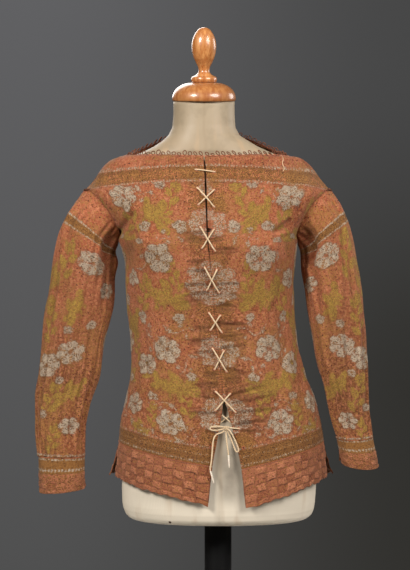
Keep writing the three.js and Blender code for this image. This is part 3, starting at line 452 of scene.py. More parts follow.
class Finish:
    """One material: a Principled shader, and a method that adds any node in front of it."""

    def __init__(self, name, sheen=0.0, **fixed):
        self.material = bpy.data.materials.new(name)
        self.material.use_nodes = True
        self.tree = self.material.node_tree
        self.shader = self.tree.nodes["Principled BSDF"]
        self.shader.inputs["Sheen Weight"].default_value = sheen
        self.shader.inputs["Sheen Roughness"].default_value = 0.5
        for socket, value in fixed.items():
            self.shader.inputs[socket.replace("_", " ").title().replace("Ior", "IOR")].default_value = value

    def feed(self, socket, value):
        if isinstance(value, Value):
            self.tree.links.new(value.socket, socket)
        else:
            socket.default_value = value

    def add(self, kind, settings, *inputs, output=0, **named):
        node = self.tree.nodes.new(kind)
        for name, value in settings.items():
            setattr(node, name, value)
        for socket, value in zip(node.inputs, inputs):
            self.feed(socket, value)
        for name, value in named.items():
            self.feed(node.inputs[name.replace("_", " ")], value)
        return Value(self, node.outputs[output])

    def math(self, operation, *inputs):
        return self.add("ShaderNodeMath", {"operation": operation}, *inputs)

    def mix(self, factor, first, second, blend="MIX"):
        node = self.tree.nodes.new("ShaderNodeMix")
        node.data_type, node.blend_type = "RGBA", blend
        for name, value in (("Factor_Float", factor), ("A_Color", first), ("B_Color", second)):
            self.feed(next(s for s in node.inputs if s.identifier == name), value)
        return Value(self, next(s for s in node.outputs if s.identifier == "Result_Color"))

    def coordinates(self, output="Object", scale=(1, 1, 1)):
        raw = self.add("ShaderNodeTexCoord", {}, output={"Object": 3, "UV": 2}[output])
        return self.add("ShaderNodeMapping", {}, Vector=raw, Scale=scale)

    def parts(self, vector):
        node = self.tree.nodes.new("ShaderNodeSeparateXYZ")
        self.feed(node.inputs[0], vector)
        return [Value(self, out) for out in node.outputs]

    def noise(self, scale, detail=2.0, vector=None, roughness=0.5):
        vector = vector or self.coordinates()
        numbers = {"Scale": scale, "Detail": detail, "Roughness": roughness}
        return self.add("ShaderNodeTexNoise", {}, Vector=vector, **numbers)

    def painted(self, name):
        return self.add("ShaderNodeAttribute", {"attribute_name": name}, output=2)

    def done(self, colour, rough, height=None, depth=0.1, strength=1.0):
        """Gives the shader its colour, roughness and relief, depth in millimetres; returns the material."""
        self.feed(self.shader.inputs["Base Color"], colour)
        self.feed(self.shader.inputs["Roughness"], rough)
        if height is not None:
            bump = self.add("ShaderNodeBump", {}, Strength=strength, Distance=depth * MM, Height=height)
            self.feed(self.shader.inputs["Normal"], bump)
        return self.material


CORAL, CORAL_DULL, CORAL_LIGHT = tone(216, 130, 92), tone(188, 106, 68), tone(232, 160, 120)
BROWN, OUTLINE_AND_SHADE = tone(120, 70, 42), tone(86, 54, 38)
SILVER, SILVER_DARK = tone(222, 208, 184), tone(170, 146, 120)
LEAF, LEAF_DARK = tone(208, 174, 84), tone(146, 114, 52)
GOLD, GOLD_DARK = tone(176, 126, 68), tone(104, 68, 38)
WHITE = tone(255, 255, 255)
STITCH_WIDE, STITCH_HIGH = 1.7, 1.35


def stitches(finish):
    """The knit's fine grid: a height for the interlocked loops, and a number for each stitch that also
    varies over a few stitches, so that neighbours tend to be alike."""
    across, up, _ = finish.parts(finish.coordinates("UV", (1000 / STITCH_WIDE, 1000 / STITCH_HIGH, 1)))
    leg = abs(across.fract() - 0.5)
    loop = abs(((up - leg * 1.1) * math.pi).sine()) * (1 - abs(leg * 4 - 1) * 0.55)
    cell = finish.add("ShaderNodeCombineXYZ", {}, across.floor(), up.floor(), 0)
    chance = finish.add("ShaderNodeTexWhiteNoise", {"noise_dimensions": "2D"}, Vector=cell)
    flecks = finish.noise(310, 2)
    return loop, chance, (chance * 0.6 + flecks * 0.9 - 0.25).clip()


def brocaded(finish, tint, pick, dark_share, *colours):
    """Stitches of more colours over a tint: each has them where its mask is strong, dark ones round light."""
    for mask, light, dark in colours:
        tint = finish.mix(mask * dark_share > pick, tint, dark)
        tint = finish.mix(mask * 0.66 > pick, tint, light)
    return tint


def shaded(finish, tint, height, low):
    """A tint on the stitches, dulled towards the low tone where their height is low: painted shade between
    the loops.
    """
    return finish.mix(1.0, tint, finish.mix(height.clip(), low, WHITE), "MULTIPLY")


def knitted(name):
    """Silk stocking-stitch with brocaded motifs: each stitch takes one of the colours."""
    finish = Finish(name, sheen=0.05, specular_ior_level=0.2)
    loop, chance, pick = stitches(finish)
    silver, leaf, gold, line, brown_share = (finish.painted(k) for k in ("silver", "leaf", "gold", "line", "brown_share"))
    patches, mottle, haze = finish.noise(11, 4), finish.noise(230, 3), finish.noise(19, 4)
    tint = finish.mix(patches.ramp(0.38, 0.62), CORAL_DULL, CORAL)
    tint = finish.mix(brown_share, tint, tone(150, 92, 54))
    tint = finish.mix(haze.ramp(0.5, 0.66) * 0.34, tint, tone(186, 140, 80))
    tint = finish.mix(mottle.ramp(0.42, 0.66) * 0.7, tint, CORAL_LIGHT)
    tint = finish.mix(pick + haze.ramp(0.44, 0.62) * 0.16 > 0.74, tint, GOLD)
    tint = finish.mix(pick < mottle.ramp(0.7, 0.3) * 0.12 + 0.14, tint, BROWN)
    tint = brocaded(finish, tint, pick, 0.84, (gold, GOLD, GOLD_DARK), (leaf, LEAF, LEAF_DARK),
                    (silver, SILVER, SILVER_DARK))
    tint = finish.mix((chance > 0.9) * silver, tint, tone(104, 84, 66))
    # The line mask darkens the stitches with the motifs' outlines, and with painted shade beside the stitch
    # lines and in the creases and folds.
    tint = finish.mix(line * (chance * 0.8 + 0.2), tint, OUTLINE_AND_SHADE)
    tint = shaded(finish, tint, chance * 0.5 + loop * 0.4, tone(156, 134, 122))
    rough = 0.78 - loop * 0.12 - silver * 0.1
    return finish.done(tint, rough, loop + chance * 0.35 + (silver + leaf).clip() * chance * 0.8, 0.5, 0.8)


def basket_knit(name):
    """The welts: the same silk in raised blocks, with painted shade in the furrows between them and painted
    light on the raised blocks.
    """
    finish = Finish(name, sheen=0.05, specular_ior_level=0.2)
    loop, chance, pick = stitches(finish)
    gold, silver, line, shade = (finish.painted(k) for k in ("gold", "silver", "line", "shade"))
    crimp = finish.noise(460, 3)
    # The raised blocks are lighter as painted light, over a random tone for each block and the crimp.
    tint = finish.mix(shade * 0.6 + crimp.ramp(0.36, 0.66) * 0.36, tone(160, 92, 60), tone(240, 164, 124))
    tint = finish.mix(pick > 0.72, tint, GOLD)
    tint = finish.mix(pick < 0.2, tint, BROWN)
    tint = brocaded(finish, tint, pick, 0.8, (gold, GOLD, GOLD_DARK), (silver, SILVER, SILVER_DARK))
    # Painted shade in the furrows between the blocks.
    tint = finish.mix(line, tint, tone(84, 44, 28))
    tint = shaded(finish, tint, chance * 0.4 + loop * 0.35, tone(176, 158, 148))
    return finish.done(tint, 0.8 - loop * 0.1, loop * 0.7 + chance * 0.3 + crimp * 1.8, 0.7)


def wrong_side(name):
    """The inside of the knitting: purl rows crossed by the floats of the other colours, in dark browns that
    are painted shade.
    """
    finish = Finish(name, specular_ior_level=0.2)
    loop, chance, pick = stitches(finish)
    tint = finish.mix(pick.ramp(0.3, 0.7), tone(66, 38, 26), tone(110, 66, 44))
    tint = finish.mix(chance > 0.85, tint, tone(124, 98, 70))
    return finish.done(tint, 0.85 - loop * 0.1, loop + chance * 0.4, 0.4, 0.7)


def silk_cord(name, light, dark, pitch=2.2):
    """A round cord of plied silk: slanting strands with darker lines between them, painted shade in the
    grooves.
    """
    finish = Finish(name, sheen=0.2, specular_ior_level=0.35)
    x, y, z = finish.parts(finish.coordinates())
    ply = ((x + y * 0.6 + z * 0.9) * (1000 / pitch * math.tau)).sine()
    wear = finish.noise(140, 3)
    colour = finish.mix(ply.ramp(-1, 0.2), dark, light)
    colour = finish.mix(wear.ramp(0.35, 0.75) * 0.35, colour, dark)
    return finish.done(colour, 0.6 + wear * 0.15, ply * 0.5 + wear * 0.4, 0.18, 0.7)


def thread(name, colour, dark):
    finish = Finish(name, specular_ior_level=0.3)
    fibre = finish.noise(900, 2)
    return finish.done(finish.mix(fibre.ramp(0.3, 0.7), dark, colour), 0.7 + fibre * 0.1, fibre, 0.1, 0.5)


def form_cloth(name):
    """Cream cotton drawn tight over the form and sized, with its seams, threads and age marks; a grey patch
    where it shows between the fronts, which is painted shade and stands for its printed stamp; and painted
    light that makes it lighter towards the foot.
    """
    finish = Finish(name, specular_ior_level=0.4, coat_weight=0.12, coat_roughness=0.35)
    weave_x, weave_y, weave_z = finish.parts(finish.coordinates("Object", (1400, 1400, 1400)))
    weave = abs(weave_z.sine()) * 0.5 + abs((weave_x + weave_y).sine()) * 0.5
    stains = finish.noise(7, 4)
    marks = finish.noise(42, 3)
    line = finish.painted("line")
    colour = finish.mix(stains.ramp(0.35, 0.7), tone(168, 151, 126), tone(156, 137, 111))
    colour = finish.mix(marks.ramp(0.5, 0.68) * 0.6, colour, tone(146, 130, 106))
    # Lighter towards the foot: painted light.
    colour = finish.mix(finish.painted("low"), colour, tone(224, 213, 194))
    streaks = finish.noise(1, 4, finish.coordinates("Object", (55, 55, 5)))
    colour = finish.mix(streaks.ramp(0.52, 0.74) * 0.4, colour, tone(184, 152, 116))
    colour = finish.mix(line * 0.28, colour, tone(140, 120, 94))
    # A grey patch where the form shows between the fronts: painted shade, standing also for the form's
    # printed stamp.
    colour = finish.mix(finish.painted("slit_shade_and_stamp") * (marks * 0.5 + 0.5), colour, tone(98, 88, 76))
    colour = finish.mix(weave * 0.12, colour, tone(176, 160, 134))
    return finish.done(colour, 0.52 + marks * 0.16, weave * 0.4 + marks * 0.6, 0.12, 0.5)


KNOB_FROM = (0.966, 0.972)


def varnished_wood(name):
    """Turned wood under amber varnish: upright grain and broad rings, darker on the cap than on the knob."""
    finish = Finish(name, specular_ior_level=0.5, coat_weight=0.7, coat_roughness=0.15)
    grain = finish.noise(1, 4, finish.coordinates("Object", (210, 210, 26)), 0.6)
    rings = finish.noise(1, 2, finish.coordinates("Object", (24, 24, 90)))
    colour = finish.mix(grain.ramp(0.32, 0.68), tone(174, 104, 50), tone(210, 146, 86))
    colour = finish.mix(rings.ramp(0.5, 0.72) * 0.35, colour, tone(154, 84, 38))
    height = finish.parts(finish.coordinates("Object", (1, 1, 1)))[2]
    cap, knob = finish.mix(0.3, colour, tone(120, 62, 28)), colour
    colour = finish.mix(height.ramp(*KNOB_FROM), cap, knob)
    return finish.done(colour, 0.34 + grain * 0.12, grain, 0.06, 0.3)


def black_paint(name):
    finish = Finish(name, specular_ior_level=0.15)
    scuffs = finish.noise(40, 4)
    colour = finish.mix(scuffs.ramp(0.6, 0.8), tone(5, 5, 6), tone(18, 17, 17))
    return finish.done(colour, 0.5 + scuffs * 0.25, finish.noise(500, 2), 0.05, 0.3)


def lacquer(name):
    finish = Finish(name, specular_ior_level=0.5, coat_weight=0.3)
    wear = finish.noise(260, 3)
    colour = finish.mix(wear.ramp(0.5, 0.75), tone(240, 226, 208), tone(206, 178, 148))
    return finish.done(colour, 0.34 + wear * 0.3, wear, 0.05, 0.4)


KNIT = knitted("brocaded knit")
WELT = basket_knit("basket knit")
# The inside of the cloth, dark as painted shade.
SHADED_INSIDE = wrong_side("shaded wrong side of the knit")
LACE = silk_cord("lace silk", tone(236, 214, 178), tone(186, 150, 110))
SILVER_THREAD = thread("tarnished silver thread", tone(134, 80, 52), tone(66, 36, 24))
SEAM_AND_SHADE_THREAD = thread("dark seam silk and painted shade", tone(110, 58, 36), tone(66, 34, 22))
CORAL_THREAD = thread("coral silk", tone(214, 132, 96), tone(166, 92, 62))
TACK = thread("rusted tack", tone(70, 44, 28), tone(40, 26, 18))
ROLL_THREAD = thread("shaded coral silk", tone(182, 110, 76), tone(120, 68, 44))
LINEN = form_cloth("sized cotton")
BEECH = varnished_wood("amber varnish")
IRON = black_paint("satin black paint")
LACQUER = lacquer("pale lacquer")


# ---- making pieces
def placed(thing, name, material, smooth_faces=True):
    """Puts a finished mesh or curve in the scene with its finish."""
    if isinstance(thing, bmesh.types.BMesh):
        mesh = bpy.data.meshes.new(name)
        thing.to_mesh(mesh)
        thing.free()
        if smooth_faces:
            mesh.shade_smooth()
        thing = mesh
    thing.materials.append(material)
    piece = bpy.data.objects.new(name, thing)
    bpy.context.scene.collection.objects.link(piece)
    return piece


def take(thing, name, material, slot, replaces=()):
    """Puts a piece of the object in the scene, on its body, with its finish, and hides the parts it replaces;
    the slot is not used.
    """
    piece = placed(thing, name, material)
    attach(piece, BODY)
    if replaces:
        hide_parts(*replaces)
    return piece


def threads(routes, radius, name, cyclic=False, sides=3):
    """One curve of round threads along routes in millimetres."""
    data = bpy.data.curves.new(name, "CURVE")
    data.dimensions = "3D"
    data.bevel_depth = radius * MM
    data.bevel_resolution = sides
    data.use_fill_caps = not cyclic
    for route in routes:
        spline = data.splines.new("POLY")
        spline.points.add(len(route) - 1)
        places = np.column_stack([np.asarray(route) * MM, np.ones(len(route))])
        spline.points.foreach_set("co", places.ravel())
        spline.use_cyclic_u = cyclic
        spline.use_smooth = True
    return data


def cloth(points, uv, paints, inside, closed=False, holes=()):
    """A cloth grid as a bmesh: a created grid whose corners are put in place, outside outwards."""
    rows, columns = points.shape[:2]
    bm = bmesh.new()
    bmesh.ops.create_grid(bm, x_segments=columns - 1, y_segments=rows - 1, size=1)
    places = points.reshape(-1, 3) * MM
    flat_uv = (uv * MM).reshape(-1, 2)
    layers = {name: bm.verts.layers.float.new(name) for name in paints}
    numbers = {name: np.broadcast_to(value, (rows, columns)).ravel() for name, value in paints.items()}
    for k, vert in enumerate(bm.verts):
        vert.co = places[k]
        for name, layer in layers.items():
            vert[layer] = numbers[name][k]
    uv_layer = bm.loops.layers.uv.new("cloth")
    for face in bm.faces:
        for loop in face.loops:
            loop[uv_layer].uv = flat_uv[loop.vert.index]
    bm.normal_update()
    every = max(1, len(bm.faces) // 400)
    some = [(face.normal, face.calc_center_median()) for face in list(bm.faces)[::every]]
    if sum(normal.dot(centre - Vector(inside(centre))) for normal, centre in some) < 0:
        bmesh.ops.reverse_faces(bm, faces=bm.faces)
    bm.verts.ensure_lookup_table()
    if holes:
        gone = [bm.verts[i * columns + j] for i, j in holes]
        bmesh.ops.delete(bm, geom=gone, context="VERTS")
    if closed:
        bmesh.ops.remove_doubles(bm, verts=bm.verts, dist=1e-6)
    return bm


def sewn(points, u, v, paints, name, node, finish, held, **shell):
    """A cloth piece of the garment, made with the cut that its outer surface had, its wall inwards."""
    shell.setdefault("inside", body_inside)
    piece = take(cloth(points, np.stack([u, v], axis=-1), paints, **shell), name, *finish, [node])
    # The inner faces take the wrong side of the knit, dark as painted shade.
    piece.data.materials.append(SHADED_INSIDE)
    wall = piece.modifiers.new("wall", "SOLIDIFY")
    wall.thickness, wall.offset, wall.material_offset = CLOTH * MM, -1, 1
    sides = np.cross(points[1:, 1:] - points[:-1, :-1], points[1:, :-1] - points[:-1, 1:])


def body_inside(centre):
    return (-0.02, 0, centre.z)


def arc_lengths(points, axis=1):
    """Distances along the rows of a grid of points, from their first point."""
    steps = np.linalg.norm(np.diff(points, axis=axis), axis=-1)
    start = np.zeros_like(steps[:, :1]) if axis == 1 else np.zeros_like(steps[:1])
    return np.concatenate([start, np.cumsum(steps, axis=axis)], axis=axis)


def turned(profile, sides=64):
    """A solid turned about the upright axis, from (radius, height) points that start and end on it."""
    bm = bmesh.new()
    corners = [bm.verts.new((r * MM, 0, h * MM)) for r, h in profile]
    edges = [bm.edges.new(pair) for pair in zip(corners, corners[1:])]
    bmesh.ops.spin(bm, geom=corners + edges, cent=(0, 0, 0), axis=(0, 0, 1), angle=math.tau, steps=sides,
                   use_merge=True, use_duplicate=False)
    bmesh.ops.remove_doubles(bm, verts=bm.verts, dist=1e-6)
    bmesh.ops.recalc_face_normals(bm, faces=bm.faces)
    return bm


# ---- the brocaded pattern
# Motifs of the body: kind, distance from the front edge (or from the back's middle), height, size and
# turn in degrees. A negative size turns a bird round.
BODY_MOTIFS = (
    ("rosette", 84, 374, 27, 8), ("rosette", 162, 398, 23, 30), ("rosette", 88, 506, 27, 20),
    ("rosette", 133, 478, 22, 0), ("rosette", 196, 520, 25, 12), ("rosette", 86, 660, 27, 0),
    ("rosette", 150, 626, 18, 25), ("rosette", 205, 664, 25, 9), ("rosette", 146, 766, 27, 14),
    ("rosette", 214, 400, 24, 0), ("rosette", 78, 792, 11, 10), ("bud", 44, 712, 13, 0),
    ("bud", 104, 716, 12, 20), ("bud", 118, 690, 9, 0), ("bud", 60, 560, 10, 0),
    ("bud", 128, 560, 11, 30), ("bud", 52, 458, 10, 10), ("bud", 122, 420, 10, 0),
    ("bud", 182, 452, 10, 0), ("bud", 174, 590, 11, 15), ("bud", 168, 708, 10, 0),
    ("bird", 92, 738, 1.15, 40), ("bird", 152, 700, -0.9, -30), ("bird", 90, 596, 1.25, 8),
    ("bird", 84, 440, 1.25, -6), ("bird", 160, 548, -1.1, 20), ("bird", 200, 602, 1.1, 60),
    ("bird", 150, 352, 0.8, 8), ("bird", 206, 462, 1.1, 10), ("bird", 206, 738, 1.1, 40),
    ("spray", 62, 760, 1.0, 110), ("spray", 130, 730, 0.9, 60), ("spray", 64, 630, 0.8, 80),
    ("spray", 124, 596, 0.9, 100), ("spray", 60, 410, 0.8, 70), ("spray", 118, 452, 1.0, 40),
    ("spray", 158, 508, 0.8, 90), ("spray", 120, 380, 0.7, 90), ("spray", 186, 640, 0.9, 80),
    ("tendril", 60, 690, 1.1, 30), ("tendril", 116, 654, 1.0, 150), ("tendril", 64, 540, 1.1, 200),
    ("tendril", 112, 530, 1.0, 60), ("tendril", 118, 500, 0.9, 120), ("tendril", 54, 480, 1.0, 330),
    ("tendril", 100, 404, 1.1, 20), ("tendril", 54, 360, 1.0, 160), ("tendril", 128, 350, 0.9, 10),
    ("tendril", 110, 770, 1.0, 10), ("tendril", 132, 790, 1.0, 190), ("tendril", 178, 370, 1.0, 60),
)
MEDALLIONS = ((716, 34, 8), (616, 48, 9), (500, 37, 8), (398, 41, 8), (778, 12, 5))
SLEEVE_MOTIFS = (
    ("rosette", 102, 655, 26, 10), ("rosette", 150, 612, 18, 0), ("bird", 92, 583, 0.9, 70),
    ("spray", 52, 640, 1.0, 80), ("spray", 40, 548, 1.0, 90), ("bud", 84, 540, 9, 0),
    ("bud", 128, 548, 10, 20), ("rosette", 90, 500, 24, 20), ("rosette", 42, 478, 24, 0),
    ("bird", 112, 434, 0.9, 30), ("spray", 62, 415, 1.0, 70), ("bud", 76, 452, 8, 0),
    ("rosette", 108, 372, 17, 0), ("spray", 70, 348, 0.7, 80), ("bud", 40, 392, 9, 0),
    ("spray", 20, 600, 1.0, 80), ("rosette", 200, 520, 22, 10), ("bird", 210, 600, 0.9, 60),
    ("rosette", 250, 655, 25, 0), ("spray", 250, 560, 1.0, 90), ("rosette", 290, 500, 24, 20),
    ("bird", 250, 430, -0.9, 20), ("spray", 320, 590, 1.0, 100), ("rosette", 330, 400, 20, 0),
    ("spray", 300, 380, 0.8, 80), ("rosette", 260, 352, 16, 0),
)
MASKS = "silver", "leaf", "gold", "line"

# Heights between which a part of the body's pattern begins or ends.
NECK_RIBS, MOTIFS_END, FOOT_BAND = (816, 820), (790, 794), (342, 338)
NECK_BAND_LOW, NECK_BAND_TOP = (793, 795), (819, 817)

# Lines of short stitches round the body: height, width, pitch and strength; and the shadows beside them.
BODY_LINES = (
    (818.5, 4, 5.2, 1), (793, 4.5, 5.2, 1), (806, 2, 7, 0.5), (317, 4, 5.2, 1), (342, 4, 5.2, 1),
    (329, 2.5, 7, 0.7),
)
SHADOW_LINES = (814.5, 789.6, 797, 321, 338, 325, 334)
RIB_PITCH = 4.2
WANDER = 2.4
LEFT_SLEEVE_LIFT = 12
STRIP_EDGE, STRIP_MIDDLE = 40, 22

# The band round each upper arm, and where the motifs begin below it, in rings.
SLEEVE_BAND = (1.02, 1.42)
SLEEVE_MOTIFS_FROM = (1.62, 1.5)


def mark(mask, value):
    np.maximum(mask, value, out=mask)


def rotated(x, y, degrees):
    c, s = math.cos(math.radians(degrees)), math.sin(math.radians(degrees))
    return x * c + y * s, y * c - x * s


def leaf_shape(x, y, at, long, wide, degrees):
    """A pointed leaf round its middle: its fill and its dark rib and edge."""
    x, y = rotated(x - at[0], y - at[1], degrees)
    half = wide / 2 * np.clip(1 - (2 * x / long) ** 2, 0, None)
    inside = np.abs(x) < long / 2
    fill = smooth(3.2, -2.4, np.abs(y) - half) * smooth(long / 2 + 2, long / 2 - 3, np.abs(x))
    edge = smooth(1.4, 0.4, np.abs(np.abs(y) - half - 1)) * inside
    rib = smooth(1.0, 0.3, np.abs(y)) * (np.abs(x) < long * 0.36)
    return fill, np.maximum(edge, rib)


def rosette(x, y, size, petals=6):
    """A flower seen from above: round petals, fine lines between and along them, and a small heart."""
    r, a = np.hypot(x, y), np.arctan2(y, x)
    rim = size * (0.78 + 0.22 * np.abs(np.cos(petals * a / 2)) ** 0.6)
    fill = smooth(1.6, -1.6, r - rim)
    edge = smooth(1.9, 0.5, np.abs(r - rim - 0.6))
    across = lambda turn: r * np.abs(np.sin((petals * a + turn) / 2)) * 2 / petals
    between = smooth(1.5, 0.3, across(math.pi)) * (r < rim)
    veins = smooth(1.1, 0.3, across(0)) * (r > size * 0.34) * (r < size * 0.8)
    heart = smooth(1.0, -1.0, r - size * 0.17)
    ring = smooth(1.3, 0.4, np.abs(r - size * 0.25))
    return fill * (1 - heart * 0.6), np.clip(edge + between + 0.6 * veins + ring, 0, 1)


def wave_line(x, y, long, bend, wide=1.1):
    inside = (x > 0) & (x < long)
    return smooth(wide + 0.7, wide - 0.5, np.abs(y - bend * np.sin(math.pi * x / long * 1.6))) * inside


def paint_motif(masks, kind, x, y, size, degrees):
    """Adds one motif, whose middle is at the origin of x and y, to the masks."""
    silver, leaf, _, line = masks

    def leaves(shapes, x, y, ink):
        for at, long, wide, lean in shapes:
            fill, drawn = leaf_shape(x, y, at, long, wide, lean)
            mark(leaf, fill * 0.8)
            mark(line, drawn * ink)

    if kind in ("rosette", "bud"):
        x, y = rotated(x, y, degrees)
        fill, drawn = rosette(x, y * 1.12, size, 6 if kind == "rosette" else 5)
        shade = 0.86 + 0.2 * np.cos(6 * np.arctan2(y, x) + degrees) * (kind == "rosette")
        mark(silver, fill * shade)
        mark(line, drawn * (0.6 if kind == "rosette" else 0.4))
        leaf *= 1 - fill
    elif kind == "bird":
        x, y = rotated(x * np.sign(size), y, degrees)
        leaves([((0, 0), 46, 22, 12), ((20, 9), 18, 13, 30), ((-28, -7), 36, 15, 8), ((-26, 4), 30, 11, -22),
                ((-6, 12), 32, 13, 48), ((4, -13), 14, 6, 80), ((-8, -13), 14, 6, 70)],
               x / abs(size), y / abs(size), 0.36)
    elif kind == "spray":
        x, y = rotated(x / size, y / size, degrees)
        mark(leaf, wave_line(x + 32, y, 64, 5))
        places = ((-22, 40), (-10, -42), (2, 44), (14, -40), (24, 30), (32, 0))
        leaves([((along, (-1) ** k * (8 if k < 5 else 0)), 24, 13, lean)
                for k, (along, lean) in enumerate(places)], x, y, 0.4)
    else:
        x, y = rotated(x / size, y / size, degrees)
        mark(silver, wave_line(x + 24, y, 48, 8, 1.0) * 0.75)
        mark(line, wave_line(x + 24, y - 2.4, 48, 8, 0.6) * 0.5)
        for along, side in ((-14, 7), (2, -8), (16, 6)):
            fill, drawn = leaf_shape(x, y, (along, side), 13, 7, side * 5)
            mark(silver, fill * 0.7)
            mark(line, drawn * 0.3)


def broken_line(u, v, height, wide, pitch=5.2):
    """A line of short stitches with gaps, at a height."""
    dash = smooth(-0.5, 0.1, np.sin(math.tau * u / pitch))
    return smooth(wide / 2 + 0.7, wide / 2 - 0.7, np.abs(v - height)) * (0.45 + 0.55 * dash)


def wobbled(u, v):
    """The hand of the knitter: the pattern's places wander by a few stitches."""
    return u + WANDER * ripples(u, v, 55, 55, 8), v + WANDER * ripples(u, v, 55, 55, 8)


def body_paint(u, v, front):
    """The masks of the body at distance u from the front edge or the back's middle, and height v."""
    masks = [np.zeros(np.broadcast(u, v).shape) for _ in range(4)]
    wu, wv = wobbled(u, v)
    for kind, across, up, size, degrees in BODY_MOTIFS:
        paint_motif(masks, kind, wu - across, wv - up, size, degrees)
    silver, leaf, gold, line = masks
    if front:
        strip = smooth(STRIP_EDGE, STRIP_MIDDLE, wu)
        for up, size, petals in MEDALLIONS:
            medal, drawn = rosette(wu, (wv - up) * (1.25 if size > 20 else 1), size, petals)
            silver[:] = np.where(wu < size, np.maximum(silver * (1 - strip), medal * 0.62), silver)
            line[:] = np.maximum(line * (1 - medal * strip), drawn * 0.45 * (wu < size + 3))
            leaf *= 1 - np.maximum(strip, medal)
            strip = strip * (1 - medal)
        mark(gold, strip * (0.62 + 0.14 * np.sin(wv / 9)))
    foot = smooth(*FOOT_BAND, v)
    for mask in masks:
        mask *= (1 - smooth(*MOTIFS_END, v)) * (1 - foot)
    lines = sum(broken_line(u, v, at, wide, pitch) * strong for at, wide, pitch, strong in BODY_LINES)
    band = smooth(*NECK_BAND_LOW, v) * smooth(*NECK_BAND_TOP, v)
    mark(silver, np.clip(lines, 0, 1) * 0.72)
    mark(gold, np.maximum(band * 0.72, foot * 0.82))
    ribs = smooth(*NECK_RIBS, v) * (0.28 + 0.28 * np.sin(math.tau * u / RIB_PITCH))
    shadow = sum(broken_line(u + 2.6, v, at, 2.6) for at in SHADOW_LINES) * 0.62
    mark(line, np.maximum(shadow, ribs))
    # Browner and darker towards the hem and near the front edge, with soft uneven patches.
    brown_share = 0.55 * smooth(730, 430, v) + 0.4 * np.exp(-((u / 62) ** 2)) * front + 0.12 * ripples(u, v, 70, 70)
    return {**dict(zip(MASKS, masks)), "brown_share": np.clip(brown_share, 0, 1)}


def sleeve_paint(side, ring, turn, radius):
    rings, _ = rings_of(side)
    height = (column(rings, "outer_z", ring) + column(rings, "inner_z", ring)) / 2 + 0 * turn
    masks = [np.zeros(height.shape) for _ in range(4)]
    degrees = np.degrees(turn)
    lift = LEFT_SLEEVE_LIFT if side == LEFT else 0
    sway = WANDER * (np.sin(height / 23 + 2 * np.sin(turn)) + np.sin(height / 41 + 1))
    for kind, at, up, size, lean in SLEEVE_MOTIFS:
        away = (degrees - at + 180) % 360 - 180
        x = -side * np.radians(away) * radius
        paint_motif(masks, kind, x + sway, height - up - lift + sway * 0.6, size, lean)
    silver, _, gold, _ = masks
    for mask in masks:
        mask *= 1 - smooth(*SLEEVE_MOTIFS_FROM, ring)
    low, high = SLEEVE_BAND
    lines = sum(smooth(0.055, 0.02, np.abs(ring - at)) for at in SLEEVE_BAND)
    dashes = 0.6 + 0.4 * smooth(-0.5, 0.2, np.sin(turn * 60))
    mark(silver, lines * dashes)
    mark(gold, smooth(low, low + 0.04, ring) * smooth(high, high - 0.04, ring) * 0.85)
    wrist = smooth(CUFF_TOP - 0.16, CUFF_TOP - 0.04, ring)
    silver[:] = np.maximum(silver * (1 - wrist), smooth(0.06, 0.02, np.abs(ring - CUFF_TOP + 0.06)) * 0.7)
    # Browner and darker down the sleeve, more on the left one, in slow bands.
    brown_share = (0.95 if side == LEFT else 0.8) * smooth(1.6, 6.4, ring) + 0.15 * np.sin(height / 31) + 0 * turn
    return {**dict(zip(MASKS, masks)), "brown_share": np.clip(brown_share, 0, 1)}


# ---- cloth pieces
KNITTED, BASKET = (KNIT, "knit"), (WELT, "welt")
FRONT_GRID, BACK_GRID, SLEEVE_GRID, CUFF_GRID = (256, 110), (226, 166), (208, 120), (56, 200)
WELT_GRIDS = {FRONT: (60, 170), BACK: (60, 296)}
BROCADE_RISE = 0.35
PULL = 1.1
ARM_RADIUS, RING_PITCH = 94, 52
CUFF_HIGH, CUFF_ROUND = 63, 230


def body_rows(middle, count):
    """The levels of a body piece's rows, evenly high down its middle, from the welt to the neckline."""
    heights = LEVELS[middle]
    level = row_at(LEVELS, middle, np.linspace(heights[WELT_TOP] + 0.2, heights[NECKLINE], count))
    level[-1] = NECKLINE
    return level[:, None]


def brocade_lift(paints):
    return (paints["silver"] + paints["leaf"]) * BROCADE_RISE


def edge_pull(u, v):
    """How the laced edge sinks below each eyelet that the lace draws."""
    return sum(PULL * np.exp(-(((v - z + 14) / 7) ** 2) - (u / 16) ** 2) for z in EYELETS["z"][:LAST_LACED])


# Creases of the fronts as seen from before them: x and z of both ends, width, depth (out where negative).
CREASES = {
    RIGHT: ((-172, 706, -148, 734, 5, 5), (-140, 704, -134, 690, 2.6, 3.2), (-150, 700, -146, 640, 9, 1.6),
            (-96, 776, -60, 752, 7, 1.4), (-128, 560, -122, 480, 9, 1.6)),
    LEFT: ((98, 706, 121, 722, 5, 5.5), (90, 700, 118, 704, 4, -2.2), (104, 750, 118, 738, 8, 3.5),
           (74, 716, 100, 700, 4, 1.8), (60, 770, 96, 756, 7, 1.4), (112, 560, 106, 470, 9, 1.6)),
}

# Ridges that the lowest eyelets pull from the front edge: height, lean, depth (out where negative) and
# length; and the limits of the same numbers for the small creases from all eyelets.
DRAGS = {
    RIGHT: ((426, 0.12, -1.2, 58), (404, -0.06, -1.4, 66)),
    LEFT: ((432, 0.2, -1.7, 88), (419, 0.1, -2.1, 104), (405, -0.02, -2.0, 96), (392, -0.14, -1.7, 80),
           (378, -0.22, -1.3, 60)),
}
SMALL_DRAGS = ((372, 700), (-0.2, 0.14), (0.7, 1.6), (26, 72))
SMALL_DRAG_COUNT = 20


